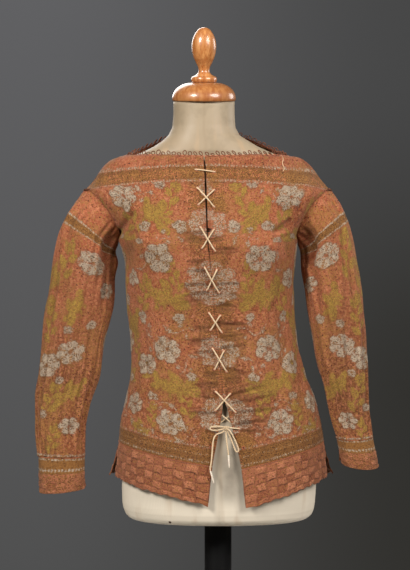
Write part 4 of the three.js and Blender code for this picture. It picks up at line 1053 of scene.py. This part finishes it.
def creases(side, points):
    x, z = points[..., 0], points[..., 2]
    total = 0
    for x0, z0, x1, z1, wide, deep in CREASES[side]:
        long = (x1 - x0) ** 2 + (z1 - z0) ** 2
        t = np.clip(((x - x0) * (x1 - x0) + (z - z0) * (z1 - z0)) / long, 0, 1)
        away = np.hypot(x - lerp(x0, x1, t), z - lerp(z0, z1, t))
        total = total + deep * np.exp(-((away / wide) ** 2))
    return total


def drag_creases(side, u, v):
    """Creases that the lacing pulls from the eyelets."""
    total = 0
    small = [tuple(rng.uniform(*limits) for limits in SMALL_DRAGS) for _ in range(SMALL_DRAG_COUNT)]
    for z, lean, deep, long in (*DRAGS[side], *small):
        along = (smooth(1, 10, u) if deep > 0 else smooth(8, 20, u)) * smooth(long, long * 0.45, u)
        total = total + deep * along * np.exp(-(((v - z - lean * u) / 3.4) ** 2))
    return 1.7 * total


def open_eyelets(side, points):
    """Moves the corners round each eyelet's place on to its rim, and gives the corners to take out."""
    holes = []
    for row in range(len(EYELETS["z"])):
        place, normal = PLACES[side, row]
        i, j = np.unravel_index(np.argmin(np.linalg.norm(points - place, axis=-1)), points.shape[:2])
        centre = points[i, j].copy()
        for di, dj in ((a, b) for a in (-1, 0, 1) for b in (-1, 0, 1) if a or b):
            ray = points[i + di, j + dj] - centre
            points[i + di, j + dj] = place + unit(ray - normal * ray.dot(normal)) * EYELET_RADIUS
        holes.append((i, j))
    return holes


def front_panel(side):
    rows, columns = FRONT_GRID
    level, share = body_rows("front", rows), np.linspace(0, 1, columns)[None, :]
    points = front_point(side, level, share)
    u = arc_lengths(points)
    v = column(LEVELS, "front", level) + 0 * u
    paints = body_paint(u, v, True)
    fade = smooth(0, 0.08, share) * smooth(1, 0.93, share) * smooth(1, 1.4, level)
    lift = (ripples(u, v, 80, 200) + 0.55 * ripples(u, v, 26, 60)) * 1.15 * fade + brocade_lift(paints)
    drag = drag_creases(side, u, v)
    lift = lift - edge_pull(u, v) * smooth(0, 3, u) - drag - creases(side, points)
    # Painted shade: the line mask is darker on the steep sides of the lacing's creases and in the deep
    # hollows of the cloth.
    steep, deep = np.abs(np.gradient(drag, axis=0)) * 7, smooth(-1.0, -3.6, lift)
    mark(paints["line"], np.maximum(0.6 * smooth(0.6, 2.6, steep), 0.4 * deep))
    points = points + outward_of(points, columns // 4, (0, FRONT, 0)) * lift[..., None]
    holes = open_eyelets(side, points)
    hand = HAND[side]
    sewn(points, side * u, v, paints, f"knit_front_{hand}", f"front_{hand}", KNITTED, "draped", holes=holes)


def back_panel():
    rows, columns = BACK_GRID
    level, share = body_rows("back", rows), np.linspace(-1, 1, columns)[None, :]
    points = back_point(level, share)
    u = arc_lengths(points)
    u = u - u[:, -1:] / 2
    v = column(LEVELS, "front", level) + 0 * u
    paints = body_paint(np.abs(u), v, False)
    fade = smooth(1, 0.93, np.abs(share)) * smooth(1, 1.4, level)
    hollow = 2.2 * np.exp(-((u / 26) ** 2)) * smooth(3.5, 4.6, level) * smooth(7, 5.6, level)
    lift = ripples(u, v, 80, 200) * 1.2 * fade + brocade_lift(paints) - hollow
    points = points + outward_of(points, columns // 2, (0, BACK, 0)) * lift[..., None]
    sewn(points, u, v, paints, "knit_back", "back", KNITTED, "draped")


def block_relief(rows_at, columns_at, rows, columns):
    """Basket knit: raised and low blocks in turn, ribbed upright and crosswise. rows_at and columns_at
    run from 0 to 1 over the field; returns the height, the painted shade in the furrows and a tone for each
    block."""
    a = rows_at * rows + 0.1 * ripples(columns_at, rows_at, 0.16, 0.5)
    b = columns_at * columns + 0.08 * ripples(columns_at, rows_at, 0.12, 0.3)
    i, j = np.clip(np.floor(a), 0, rows - 1), np.clip(np.floor(b), 0, columns - 1)
    fa, fb = a - i, b - j
    mound = smooth(0, 0.2, fa) * smooth(1, 0.76, fa) * smooth(0, 0.16, fb) * smooth(1, 0.86, fb)
    raised = (i + j) % 2
    ribs = 0.5 + 0.5 * np.cos(math.tau * 3 * fb)
    bars = 0.5 + 0.5 * np.cos(math.tau * 3 * fa)
    high = BLOCK_RISE * mound * (0.8 + 0.2 * ribs)
    low = 0.35 * mound * bars
    block = i.astype(int), j.astype(int)
    shades, shade_strengths = (rng.uniform(0, 1, (rows + 1, columns + 1))[block] for _ in range(2))
    # Painted shade along the foot and the sides of each block, where the furrows lie, of random strength.
    under = smooth(0.2, 0.04, fa) * smooth(0, 0.16, fb) * smooth(1, 0.84, fb)
    beside = np.maximum(smooth(0.12, 0.02, fb), smooth(0.9, 0.98, fb)) * 0.6
    furrow_shade = np.maximum(under, beside) * (0.4 + 0.6 * shade_strengths) * np.where(raised > 0, 1, 0.6)
    furrow_shade = furrow_shade * smooth(-0.02, 0.02, rows_at) * smooth(1.02, 0.98, rows_at)
    # A random tone for each block, with the raised blocks lighter as painted light.
    return np.where(raised > 0, high, low), furrow_shade, shades * 0.55 + raised * 0.45


def hem_welt(side):
    """The welt of one front, or of the back where side is 0."""
    face = BACK if side == 0 else FRONT
    blocks = HEM_BLOCKS[face]
    half = BLOCK_WIDTH * blocks * (1 if face == BACK else 2)
    end = 1 - VENT_HALF_GAP / half
    start = -end if face == BACK else 0
    rows, columns = WELT_GRIDS[face]
    level = np.linspace(HEM, WELT_TOP - 0.003, rows)[:, None]
    share = np.linspace(start, end, columns)[None, :]
    points = back_point(level, share) if face == BACK else front_point(side, level, share)
    place = (share - start) / (end - start) + 0 * level
    high, furrow_shade, shade = block_relief(level / WELT_PLAIN_FROM + 0 * share, place, HEM_BLOCK_ROWS, blocks)
    flare = VENT_FLARE[face] * (1 - level) ** 1.3 * smooth(0.8, 1, np.abs(share))
    points = points + outward_of(points, columns // 2, (0, face, 0)) * (high + flare)[..., None]
    scallop = 1.6 * np.sin(math.pi * place * blocks) ** 2 * smooth(0.3, 0, level)
    uneven = ripples(place * half, 0 * level, 60, 60, 8) * 1.1 * smooth(0.5, 0, level)
    points[..., 2] += scallop - 1.2 + uneven
    u = arc_lengths(points)
    v = column(LEVELS, "front", level) + 0 * u
    paints = {"gold": 0 * u, "silver": 0 * u, "line": furrow_shade, "shade": shade}
    name = "welt_back" if face == BACK else f"welt_front_{HAND[side]}"
    sewn(points, u, v, paints, f"basket_{name}", f"hem_{name}", BASKET, "hung")


def sleeve_radius(side, ring):
    rings, _ = rings_of(side)
    return (np.abs(column(rings, "outer", ring) - column(rings, "inner", ring)) / 2
            + column(rings, "half_depth", ring)) / 2


def sleeve_lift(side, ring, turn):
    """How far the sleeve's cloth stands out of its plain rings."""
    across, along = np.sin(turn) * ARM_RADIUS, np.cos(turn) * ARM_RADIUS
    waves = sum(ripples(way, ring * RING_PITCH, wide, 210) * high
                for way in (across, along) for wide, high in ((34, 1), (15, 0.6)))
    gathers = 0.7 * np.sin(23 * turn + 3 * np.sin(2 * turn)) * smooth(1.1, 0.15, ring) * smooth(0, 0.1, ring)
    return gathers - fold_depth(side, ring, turn) + 1.35 * waves * smooth(0, 0.7, ring)


def sleeve_piece(side):
    rows, columns = SLEEVE_GRID
    ring = np.linspace(0, CUFF_TOP - 0.004, rows)[:, None]
    turn = np.linspace(0, math.tau, columns)[None, :]
    points = sleeve_point(side, ring, turn)
    radius = sleeve_radius(side, ring)
    paints = sleeve_paint(side, ring + 0 * turn, turn + 0 * ring, radius)
    middle = points[rows // 2]
    normals = outward_of(points, 0, middle[0] - middle[columns // 2], closed=True)
    lift = sleeve_lift(side, ring, turn + 0 * ring) + brocade_lift(paints)
    lift[:, -1] = lift[:, 0]
    # Painted shade: the line mask is darker in the deep troughs of the folds.
    mark(paints["line"], 0.3 * smooth(-0.6, -2.8, lift))
    points = points + normals * lift[..., None]
    u = np.broadcast_to(radius * turn, (rows, columns))
    v = -arc_lengths(points, axis=0).mean(axis=1, keepdims=True) + 0 * turn
    sewn(points, u, v, paints, f"knit_sleeve_{HAND[side]}", f"sleeve_{HAND[side]}", KNITTED, "hung",
         inside=sleeve_inside(side), closed=True)


def sleeve_inside(side):
    """A function that gives a point inside the sleeve beside a point of its cloth."""
    rings, _ = rings_of(side)
    at = np.linspace(0, CUFF_EDGE, 60)
    axis = spot((column(rings, "outer", at) + column(rings, "inner", at)) / 2, -column(rings, "set", at),
                (column(rings, "outer_z", at) + column(rings, "inner_z", at)) / 2) * MM
    return lambda centre: axis[np.argmin(np.linalg.norm(axis - np.array(centre), axis=1))]


def cuff_piece(side):
    rows, columns = CUFF_GRID
    start, end = CUFF_VENT_TURN, CUFF_VENT_TURN - 360 + CUFF_VENT_GAP
    ring = np.linspace(CUFF_TOP + 0.004, CUFF_EDGE, rows)[:, None]
    degrees = np.linspace(start, end, columns)[None, :]
    points = sleeve_point(side, ring, np.radians(degrees))
    middle, front = points[rows // 2], columns // 3
    normals = outward_of(points, front, middle[front] - middle.mean(axis=0))
    down = (ring - CUFF_TOP) / (CUFF_EDGE - CUFF_TOP)
    field = (down - CUFF_BAND) / (1 - CUFF_BAND)
    place = (degrees - start) / (end - start) + 0 * ring
    down_field = np.clip(field, 0, 0.999) + 0 * place
    high, furrow_shade, shade = block_relief(down_field, place, CUFF_BLOCK_ROWS, CUFF_BLOCKS)
    on_field = smooth(0, 0.06, field)
    flare = CUFF_VENT_FLARE * down * smooth(end + CUFF_VENT_REACH, end, degrees)
    lift = high * on_field * 0.75 + flare + 0.5 * ripples(place * CUFF_ROUND, down * 60, 40, 90)
    points = points + normals * lift[..., None]
    u = arc_lengths(points)
    v = -down * CUFF_HIGH + 0 * u
    lines = smooth(0.045, 0.02, np.abs(down - 0.05)) + smooth(0.06, 0.02, np.abs(down - 0.33))
    dashes = 0.5 + 0.5 * smooth(-0.4, 0.2, np.sin(math.tau * u / 6))
    paints = {
        "gold": 0.75 * smooth(CUFF_BAND + 0.02, CUFF_BAND - 0.04, down) + 0.45 + 0 * u,
        "silver": lines * dashes * 0.9,
        "line": furrow_shade * on_field * 0.7,
        "shade": shade,
    }
    sewn(points, u, v, paints, f"basket_cuff_{HAND[side]}", f"cuff_{HAND[side]}", BASKET, "hung",
         inside=sleeve_inside(side))


# ---- lacing and trim
WRAP_TURNS = 2.3
FINE_THREAD, EYELET_THREAD, EYELET_BAR, TIE_THREAD, PICOT_THREAD = 0.3, 0.5, 0.26, 0.55, 0.78
SEAM_ROLL, NECK_ROLL = 0.8, 1.0
EYELET_BARS = 12
BAR_PROFILE = ((-0.1, 0.3), (0.5, 0.75), (1.3, 0.15))
PICOT_PITCH, PICOT_STEPS = 9.6, 18
ARMHOLE_STEPS = 96
OVERCAST_LEVELS = (316, 842, 4.2)
NECK_TIE = ((108, 833), (111, 829), (109.5, 824), (112, 819), (110, 815))


def knot_place():
    right, left = PLACES[RIGHT, LAST_LACED][0], PLACES[LEFT, LAST_LACED][0]
    place = (right + left) / 2
    place[1] = min(right[1], left[1]) - 5.4
    return place


def from_knot(offset):
    across, out, up = offset
    return knot_place() + np.array([across, -out, up])


def leaving(offset):
    """Where a strand that leaves the knot starts, and a point a little further on."""
    way = np.array([offset[0], -offset[1], offset[2]], float)
    radii = np.array(KNOT)
    surface = way / np.linalg.norm(way / radii)
    outward = unit(surface / radii**2)
    return [knot_place() + surface + outward * n * TOUCH_GAP for n in (1, 4)]


def strand_from(route):
    return [*leaving(route[0]), *map(from_knot, route[1:])]


def loop_from(route):
    return [*strand_from(route[:-1]), *reversed(leaving(route[-1]))]


def crossing_route():
    """The lace crosses behind the cloth, comes out, crosses before it and goes in, up and down again."""
    over = LACE_RADIUS + 2 * TOUCH_GAP
    above, below = over, -CLOTH - over

    def at(side, row, height):
        place, outward = PLACES[side, row]
        return place + outward * height

    def half(first, step, is_outer):
        places = []
        for n in range(LAST_LACED + 1):
            row = LAST_LACED - n if step < 0 else n
            side = first if n % 2 == 0 else -first
            leaves_above = row % 2 == (0 if step < 0 else 1)
            leave, arrive = (above, below) if leaves_above else (below, above)
            places += [at(side, row, arrive), at(side, row, leave)]
            if n < LAST_LACED:
                middle = (at(side, row, leave) + at(-side, row + step, leave)) / 2
                rise = STRAND_STEP * is_outer * (1 if leaves_above else -1)
                places.append(middle + PLACES[side, row][1] * rise)
        return places

    start, end = (leaving(way) for way in TO_EYELET)
    return [*start, *half(RIGHT, -1, True), *half(RIGHT, 1, False), *reversed(end)]


def lace_and_bow():
    """The lace through the eyelets, its knot, and as free cords the bow's loops and the two ends."""
    crossing = rounded_route(crossing_route(), 4)
    take(threads([crossing], LACE_RADIUS, "lace"), "lace_crossing", LACE, "lace", ["lace_crossings"])
    t = np.linspace(0, 1, 60)
    winding = math.tau * WRAP_TURNS * t
    wrap = knot_place() + spot(lerp(-3.2, 3.2, t), -1.9 * np.cos(winding), 2.9 * np.sin(winding))
    core = knot_place() + spot(lerp(-3.9, 3.9, t), 0.5 * np.sin(math.tau * t), 0.6 * np.cos(math.tau * t))
    take(threads([wrap, core], LACE_RADIUS, "knot"), "tied_knot", LACE, "lace", ["bow_knot"])
    for side in (RIGHT, LEFT):
        hand = HAND[side]
        route = rounded_route(loop_from(BOW_LOOPS[side]))
        data = threads([route], LACE_RADIUS, "loop")
        loop = take(data, f"lace_loop_{hand}", LACE, "lace", [f"bow_loop_{hand}"])
        route = rounded_route(strand_from(LACE_ENDS[side]))
        data = threads([route], LACE_RADIUS, "end")
        end = take(data, f"lace_tail_{hand}", LACE, "lace", [f"lace_end_{hand}"])
        tag = aglet(side, route[-1])


def aglet(side, end):
    """A lacquered metal tag: a rolled tube with two crimps, tapering to a blunt tip."""
    half, r = AGLET_LENGTH / 2, AGLET_RADIUS
    profile = [
        (0, -half), (r * 0.45, -half), (r * 0.62, -half + 0.7), (r * 0.8, -half + 5), (r * 0.92, half - 8),
        (r * 0.92, half - 6.4), (r * 0.74, half - 6), (r * 0.92, half - 5.6), (r * 0.96, half - 3.4),
        (r * 0.78, half - 3), (r * 0.96, half - 2.6), (r, half - 0.6), (r * 0.94, half), (0, half),
    ]
    bm = turned(profile, 20)
    lean = Vector((AGLET_LEAN[side], 0, -1)).normalized()
    middle = Vector(end) + lean * (half + 2 * TOUCH_GAP)
    turn = Vector((0, 0, -1)).rotation_difference(lean).to_matrix().to_4x4()
    bmesh.ops.transform(bm, matrix=Matrix.Translation(middle * MM) @ turn, verts=bm.verts)
    return take(bm, f"lace_tag_{HAND[side]}", LACQUER, "aglet", [f"aglet_{HAND[side]}"])


def eyelet_rings():
    """Overcast silk round each eyelet, and its small stitches."""
    rings, bars = [], []
    turn = np.linspace(0, math.tau, 17)[:-1, None]
    for place, normal in PLACES.values():
        first = unit(np.cross(normal, [0, 0, 1]))
        second = np.cross(normal, first)
        circle = first * np.cos(turn) + second * np.sin(turn)
        rings.append(place + normal * 0.25 + circle * (EYELET_RADIUS + 0.3))
        for a in np.linspace(0, math.tau, EYELET_BARS + 1)[:-1]:
            ray = first * math.cos(a) + second * math.sin(a)
            bars.append([place + normal * h + ray * (EYELET_RADIUS + r) for r, h in BAR_PROFILE])
    take(threads(rings, EYELET_THREAD, "rings", cyclic=True, sides=1), "eyelet_ring", CORAL_THREAD, "knit")
    take(threads(bars, EYELET_BAR, "bars", sides=1), "eyelet_stitches", CORAL_THREAD, "knit")


def neckline():
    """The neck edge as one closed route from the centre front round the back, with its up and out ways."""
    share = np.linspace(0, 1, 160)[None, :]
    stretches = (
        lambda level: front_point(RIGHT, level, share),
        lambda level: back_point(level, 2 * share - 1),
        lambda level: front_point(LEFT, level, share)[:, ::-1],
    )
    routes = []
    for point in stretches:
        edge, lower = (point(np.array([[NECKLINE - below]]))[0] for below in (0.0, 0.06))
        routes.append((edge, unit(0.35 * unit(edge - lower) + np.array([0, 0, 0.8]))))
    edge = np.concatenate([r[0] for r in routes])
    up = np.concatenate([r[1] for r in routes])
    out = unit(np.stack([edge[:, 0] + 20, edge[:, 1], 0 * edge[:, 2]], axis=-1))
    return edge, up, out


def picot_edging():
    """A thread looped along the neck edge, with a second one that ties the loops down."""
    edge, up, out = neckline()
    along = np.concatenate([[0], np.cumsum(np.linalg.norm(np.diff(edge, axis=0), axis=1))])
    count = int(along[-1] / PICOT_PITCH)
    pitch = along[-1] / count
    phase = np.linspace(0, math.tau * count, count * PICOT_STEPS)
    wobble = 1 + 0.22 * np.sin(phase * 0.37) + 0.14 * np.sin(phase * 0.83 + 1)
    s = np.clip(phase / math.tau * pitch + 5.0 * np.sin(phase) - 1.6 * np.cos(phase), 0, along[-1])
    at = lambda grid: np.stack([np.interp(s, along, grid[:, k]) for k in range(3)], axis=-1)
    rise = (3.9 * (1 - np.cos(phase)) * wobble - 0.6)[:, None]
    route = at(edge) + at(up) * rise + at(out) * (0.7 * np.sin(phase) - 0.6)[:, None]
    take(threads([route], PICOT_THREAD, "picots", sides=2), "picot_loops", SILVER_THREAD, "lace")
    bound = edge + up * 0.3 - out * 0.9
    middle = len(bound) // 3
    parts = (
        (bound[: middle + 1], CORAL_THREAD, "right"),
        (bound[-middle:], CORAL_THREAD, "left"),
        # The back part of the roll is dark as painted shade of the inside of the back neck.
        (bound[middle:-middle], SEAM_AND_SHADE_THREAD, "back"),
    )
    for part, silk, name in parts:
        take(threads([part], NECK_ROLL, "neck edge", sides=2), f"neck_edge_roll_{name}", silk, "knit")


def seam_stitches():
    """Rolls of silk along the armholes and the welts' seams, stitches in them, and overcast front edges."""
    dashes, overcast = [], []
    share = np.linspace(0.004, 0.996, 150)[None, :]
    level = np.array([[WELT_TOP - 0.001]])
    rolls = [front_point(side, level, share)[0] for side in (RIGHT, LEFT)]
    rolls.append(back_point(level, np.linspace(-0.996, 0.996, 220)[None, :])[0])
    turn = np.linspace(0, math.tau, ARMHOLE_STEPS + 1)
    edge_levels = row_at(LEVELS, "front", np.arange(*OVERCAST_LEVELS))[:, None]
    normal = np.array([0, -1, 0])
    for side in (RIGHT, LEFT):
        ring = armhole(side, turn)
        rolls += [ring, sleeve_point(side, CUFF_TOP + 0 * turn, turn)]
        out = unit(ring - ring.mean(axis=0))
        for k in range(0, ARMHOLE_STEPS, 2):
            a, b = ring[k] + out[k] * 0.7, ring[k + 1] + out[k + 1] * 0.7
            dashes.append([a, (a + b) / 2 + out[k] * 0.5, b])
        beside = np.array([side * 0.3, 0, 0])
        for near, far in front_point(side, edge_levels, np.array([[0.0, 0.012]])):
            overcast.append([near + normal * 0.1 - beside, near + normal * 0.5, far + normal * 0.35])
    tie, share = [], np.linspace(0.3, 1, 400)[None, :]
    for x, z in NECK_TIE:
        points = front_point(LEFT, row_at(LEVELS, "front", np.array([[z]])), share)[0]
        k = np.argmin(np.abs(points[:-1, 0] - x))
        normal = np.cross(points[k + 1] - points[k], np.array([0, 0.3, 1]))
        tie.append(points[k] + unit(normal * -np.sign(normal[1])) * 2 * TIE_THREAD)
    take(threads([rounded_route(np.array(tie))], TIE_THREAD, "tie", sides=2), "neck_corner_tie", LACE, "lace")
    take(threads(rolls, SEAM_ROLL, "seam rolls", sides=2), "seam_rolls", ROLL_THREAD, "knit")
    take(threads(dashes, FINE_THREAD, "armhole stitches", sides=1), "armhole_stitches", SEAM_AND_SHADE_THREAD, "knit")
    edging = threads(overcast, FINE_THREAD, "edge stitches", sides=1)
    take(edging, "front_edge_stitches", CORAL_THREAD, "knit")


# ---- the dress form
FORM_LEVELS = table(
    "z right left fore aft",
    (207, -137, 140, 84, 92), (208.2, -145.8, 148.7, 92, 100.4), (210, -151, 154, 97, 106),
    (213.6, -157, 160, 102.4, 111.4), (218, -161, 164, 106, 115), (226.5, -164.9, 167.2, 109.3, 118.9),
    (237, -167, 169, 111, 121), (262, -167.8, 170.8, 112.5, 123.2),
    (300, -167, 171, 113, 124), (350, -165, 172, 112, 121), (400, -156, 163, 104.5, 112),
    (455, -143, 141, 96.5, 101), (510, -141, 129, 92, 92), (562, -146, 124, 93, 87), (615, -150, 121, 99, 85),
    (657, -152, 125, 105, 86), (697, -154, 127, 106, 88), (740, -158, 130, 99, 88), (780, -167, 131, 86, 84),
    (806, -170, 129, 74.5, 78), (824, -171, 130, 67, 71), (835.2, -168, 130, 54.8, 66),
    (837.1, -159.5, 121.2, 55, 65), (846, -134, 93, 57.5, 61), (856, -113, 71, 56.5, 56),
    (866, -98, 54, 55, 51), (876, -87, 38, 54, 48), (890, -80, 30.5, 53, 46), (912, -78, 29, 52.5, 45),
    (936, -78, 29, 52.5, 45),
)
FORM_ROUNDNESS = 2.2
NECK = {"x": -24.5, "y": -3.5, "z": 936, "slope_from": 880, "tilt": 8}
CAP = {"radius": 55.5, "rim": 5, "height": 32, "top": 20}
KNOB_HEIGHT = 95
KNOB = table(
    "h r",
    (0, 20.5), (2.5, 22), (6, 22.4), (9.5, 21), (12, 16), (16, 11), (21, 9.4), (27, 10.6), (35, 14.6),
    (46, 19), (59, 21.2), (70, 20.6), (80, 17.6), (88, 12.8), (93, 7.4), (95, 0),
)
FORM_GRID, FORM_GIRTH = (130, 129), 110
TACK_X, TACK_Z = -82, 215.0
POLE_RADIUS = 23.5
BASE = {"radius": 150, "height": 16, "edge": 3}


def form_point(z, turn):
    """A point of the form's skin, straight between the rows of its table, at a turn round it."""
    row = np.interp(z, FORM_LEVELS["z"], np.arange(len(FORM_LEVELS["z"])))
    get = lambda name: np.interp(row, np.arange(len(FORM_LEVELS["z"])), FORM_LEVELS[name])
    right, left, fore, aft = (get(name) for name in ("right", "left", "fore", "aft"))
    c, s = np.cos(turn), np.sin(turn)
    power = 2 / FORM_ROUNDNESS
    y = np.sign(s) * np.abs(s) ** power * np.where(s < 0, fore, aft)
    x = (right + left) / 2 + (left - right) / 2 * np.sign(c) * np.abs(c) ** power
    slope = math.tan(math.radians(NECK["tilt"])) * smooth(NECK["slope_from"], NECK["z"], z)
    return spot(x, y, z + slope * (y - NECK["y"]))


def form_skin():
    """The form's padded body, cloth-covered, with its seams down the middle and the sides."""
    rows, columns = FORM_GRID
    heights = FORM_LEVELS["z"]
    z = np.interp(np.linspace(0, len(heights) - 1, rows), np.arange(len(heights)), heights)
    z = np.sort(np.concatenate([z, np.linspace(237, 835, 60)]))[:, None]
    turn = np.linspace(0, math.tau, columns)[None, :]
    points = form_point(z, turn)
    quarters = (-math.pi / 2, math.pi / 2, 0, math.pi)
    away = [((turn - at + math.pi) % math.tau - math.pi) * FORM_GIRTH for at in quarters]
    seams = sum(np.exp(-((distance / 1.3) ** 2)) for distance in away) + 0 * z
    hem = np.exp(-(((z - 226) / 1.2) ** 2)) + 0 * turn
    line = np.clip(seams + hem * 0.35 + 1.6 * smooth(211, 208, z), 0, 1)
    points = points - outward_of(points, 0, (1, 0, 0), closed=True) * (0.35 * line)[..., None]
    uv = np.stack([turn * FORM_GIRTH + 0 * z, z + 0 * turn], axis=-1)
    # Painted shade where the form shows between the fronts, standing also for its printed stamp.
    slit_shade_and_stamp = np.exp(-(((points[..., 0] - 22) / 26) ** 2) - ((z - 300) / 52) ** 4) * (points[..., 1] < 0)
    # The low mask is painted light: the form is lighter towards its foot.
    paints = {"line": line, "slit_shade_and_stamp": slit_shade_and_stamp, "low": smooth(470, 250, z) + 0 * turn}
    bm = cloth(points, uv, paints, body_inside, closed=True)
    bmesh.ops.holes_fill(bm, edges=[e for e in bm.edges if e.is_boundary], sides=0)
    bmesh.ops.recalc_face_normals(bm, faces=bm.faces)
    take(bm, "covered_form", LINEN, "linen", ["form_body"])


def tack():
    """The small tack in the foot of the covering."""
    turn = np.linspace(-math.pi, 0, 2000)
    ring = form_point(TACK_Z + 0 * turn, turn)
    k = np.argmin(np.abs(ring[:, 0] - TACK_X))
    normal = np.cross(ring[k + 1] - ring[k - 1], form_point(TACK_Z + 1, turn[k]) - ring[k])
    normal = Vector(normal * np.sign(-normal[1]))
    head = turned([(0, -0.5), (1.9, -0.5), (2.3, 0.2), (1.8, 0.9), (1, 1.3), (0, 1.45)], 20)
    place = Matrix.Translation(Vector(ring[k]) * MM) @ normal.to_track_quat("Z", "Y").to_matrix().to_4x4()
    bmesh.ops.transform(head, matrix=place, verts=head.verts)
    take(head, "covering_tack", TACK, "iron")


def neck_top():
    """The turned cap and knob, tilted forward with the neck."""
    place = Matrix.Translation(Vector((NECK["x"], NECK["y"], NECK["z"] + TOUCH_GAP)) * MM)
    place = place @ Matrix.Rotation(math.radians(NECK["tilt"]), 4, "X")
    radius, rim, height, top = (CAP[name] for name in ("radius", "rim", "height", "top"))
    dome = [(top + (radius - top) * math.cos(a), rim + (height - rim) * math.sin(a))
            for a in np.linspace(0, math.pi / 2, 22)]
    foot = [(0, 0), (radius - 2.4, 0), (radius - 0.8, 0.5), (radius - 0.1, 1.8)]
    cap = turned([*foot, *dome, (0, height)], 72)
    at = np.linspace(0, len(KNOB["h"]) - 1, 90)
    outline = [(max(0.0, float(r)), float(h)) for r, h in zip(column(KNOB, "r", at), column(KNOB, "h", at))]
    outline[-1] = (0, KNOB_HEIGHT)
    knob = turned([(0, 0), *outline], 56)
    bmesh.ops.translate(knob, vec=(0, 0, (height + TOUCH_GAP) * MM), verts=knob.verts)
    for bm, name, node in ((cap, "turned_cap", "neck_cap"), (knob, "turned_knob", "neck_knob")):
        bmesh.ops.transform(bm, matrix=place, verts=bm.verts)
        take(bm, name, BEECH, "beech", [node])


def stand():
    """The short pole with its collar, and the round base."""
    low, high = BASE["height"] + TOUCH_GAP, FORM_LEVELS["z"][0] - TOUCH_GAP
    r = POLE_RADIUS
    pole = turned([(0, low), (r - 0.8, low), (r, low + 0.8), (r, high - 0.8), (r - 0.8, high), (0, high)], 64)
    take(pole, "round_pole", IRON, "iron", ["pole"])
    radius, height, edge = BASE["radius"], BASE["height"], BASE["edge"]
    rim = [(radius - edge * (1 - math.sin(a)), height - edge * (1 - math.cos(a)))
           for a in np.linspace(math.pi / 2, 0, 9)]
    disc = turned([(0, 0), (radius - 1, 0), (radius, 1), *rim, (0, height)], 96)
    take(disc, "round_base", IRON, "iron", ["base"])


# ---- the set: floor, light and air
FLOOR_RADIUS = 560


def stage_floor():
    grey = Finish("pale floor").done(tone(196, 194, 190), 0.8)
    disc = turned([(0, -2), (FLOOR_RADIUS, -2), (FLOOR_RADIUS, 0), (0, 0)], 96)
    placed(disc, "floor", grey, smooth_faces=False)


def lamp(name, place, aim, size, power, colour):
    data = bpy.data.lights.new(name, "AREA")
    data.shape = "DISK"
    data.size, data.energy, data.color = size, power, colour
    light = bpy.data.objects.new(name, data)
    light.location = place
    light.rotation_euler = (Vector((0, 0, aim)) - Vector(place)).to_track_quat("-Z", "Y").to_euler()
    bpy.context.scene.collection.objects.link(light)


# Lamps: name, place, the height that each is aimed at, size, power and tone.
LAMPS = (
    ("key", (-1.8, -2.3, 2.15), 0.6, 1.0, 106, (1, 0.97, 0.93)),
    ("fill", (1.7, -2.1, 2.0), 0.65, 1.5, 84, (1, 0.97, 0.94)),
    ("edge", (1.7, 0.9, 1.4), 0.7, 0.9, 12, (1, 0.97, 0.94)),
    ("back", (-0.8, 2.3, 2.1), 0.65, 1.8, 34, (1, 0.98, 0.95)),
)

# How fast the grey round the object changes across and upwards.
AIR_ACROSS, AIR_UP = 3.626, 2.608


class Air(Finish):
    """The grey round the object: its tone falls softly from one side of the room to the other, painted light
    on the backdrop that the camera sees.
    """

    def __init__(self):
        world = bpy.data.worlds.new("air")
        world.use_nodes = True
        bpy.context.scene.world = world
        self.tree = world.node_tree
        towards = self.add("ShaderNodeTexCoord", {}, output=0)
        x, y, z = self.parts(towards)
        across = (x * y.ramp(0.7, 0.95) * AIR_ACROSS + 0.5).clip()
        up = (z * AIR_UP + 0.5).clip()
        left = self.mix(up, tone(80, 80, 80), tone(97, 97, 99))
        right = self.mix(up.ramp(0.3, 0.9), tone(50, 49, 46), tone(71, 71, 71))
        seen = self.add("ShaderNodeLightPath", {})
        shown = self.mix(seen, tone(60, 58, 56), self.mix(across.ramp(0.05, 1.05), left, right))
        self.feed(self.tree.nodes["Background"].inputs["Color"], shown)


# ---- putting it together
lace_and_bow()
for side in (RIGHT, LEFT):
    front_panel(side)
    hem_welt(side)
    sleeve_piece(side)
    cuff_piece(side)
back_panel()
hem_welt(0)
eyelet_rings()
picot_edging()
seam_stitches()
form_skin()
tack()
neck_top()
stand()
stage_floor()
for row in LAMPS:
    lamp(*row)
Air()
bpy.context.scene.view_settings.view_transform = "Standard"
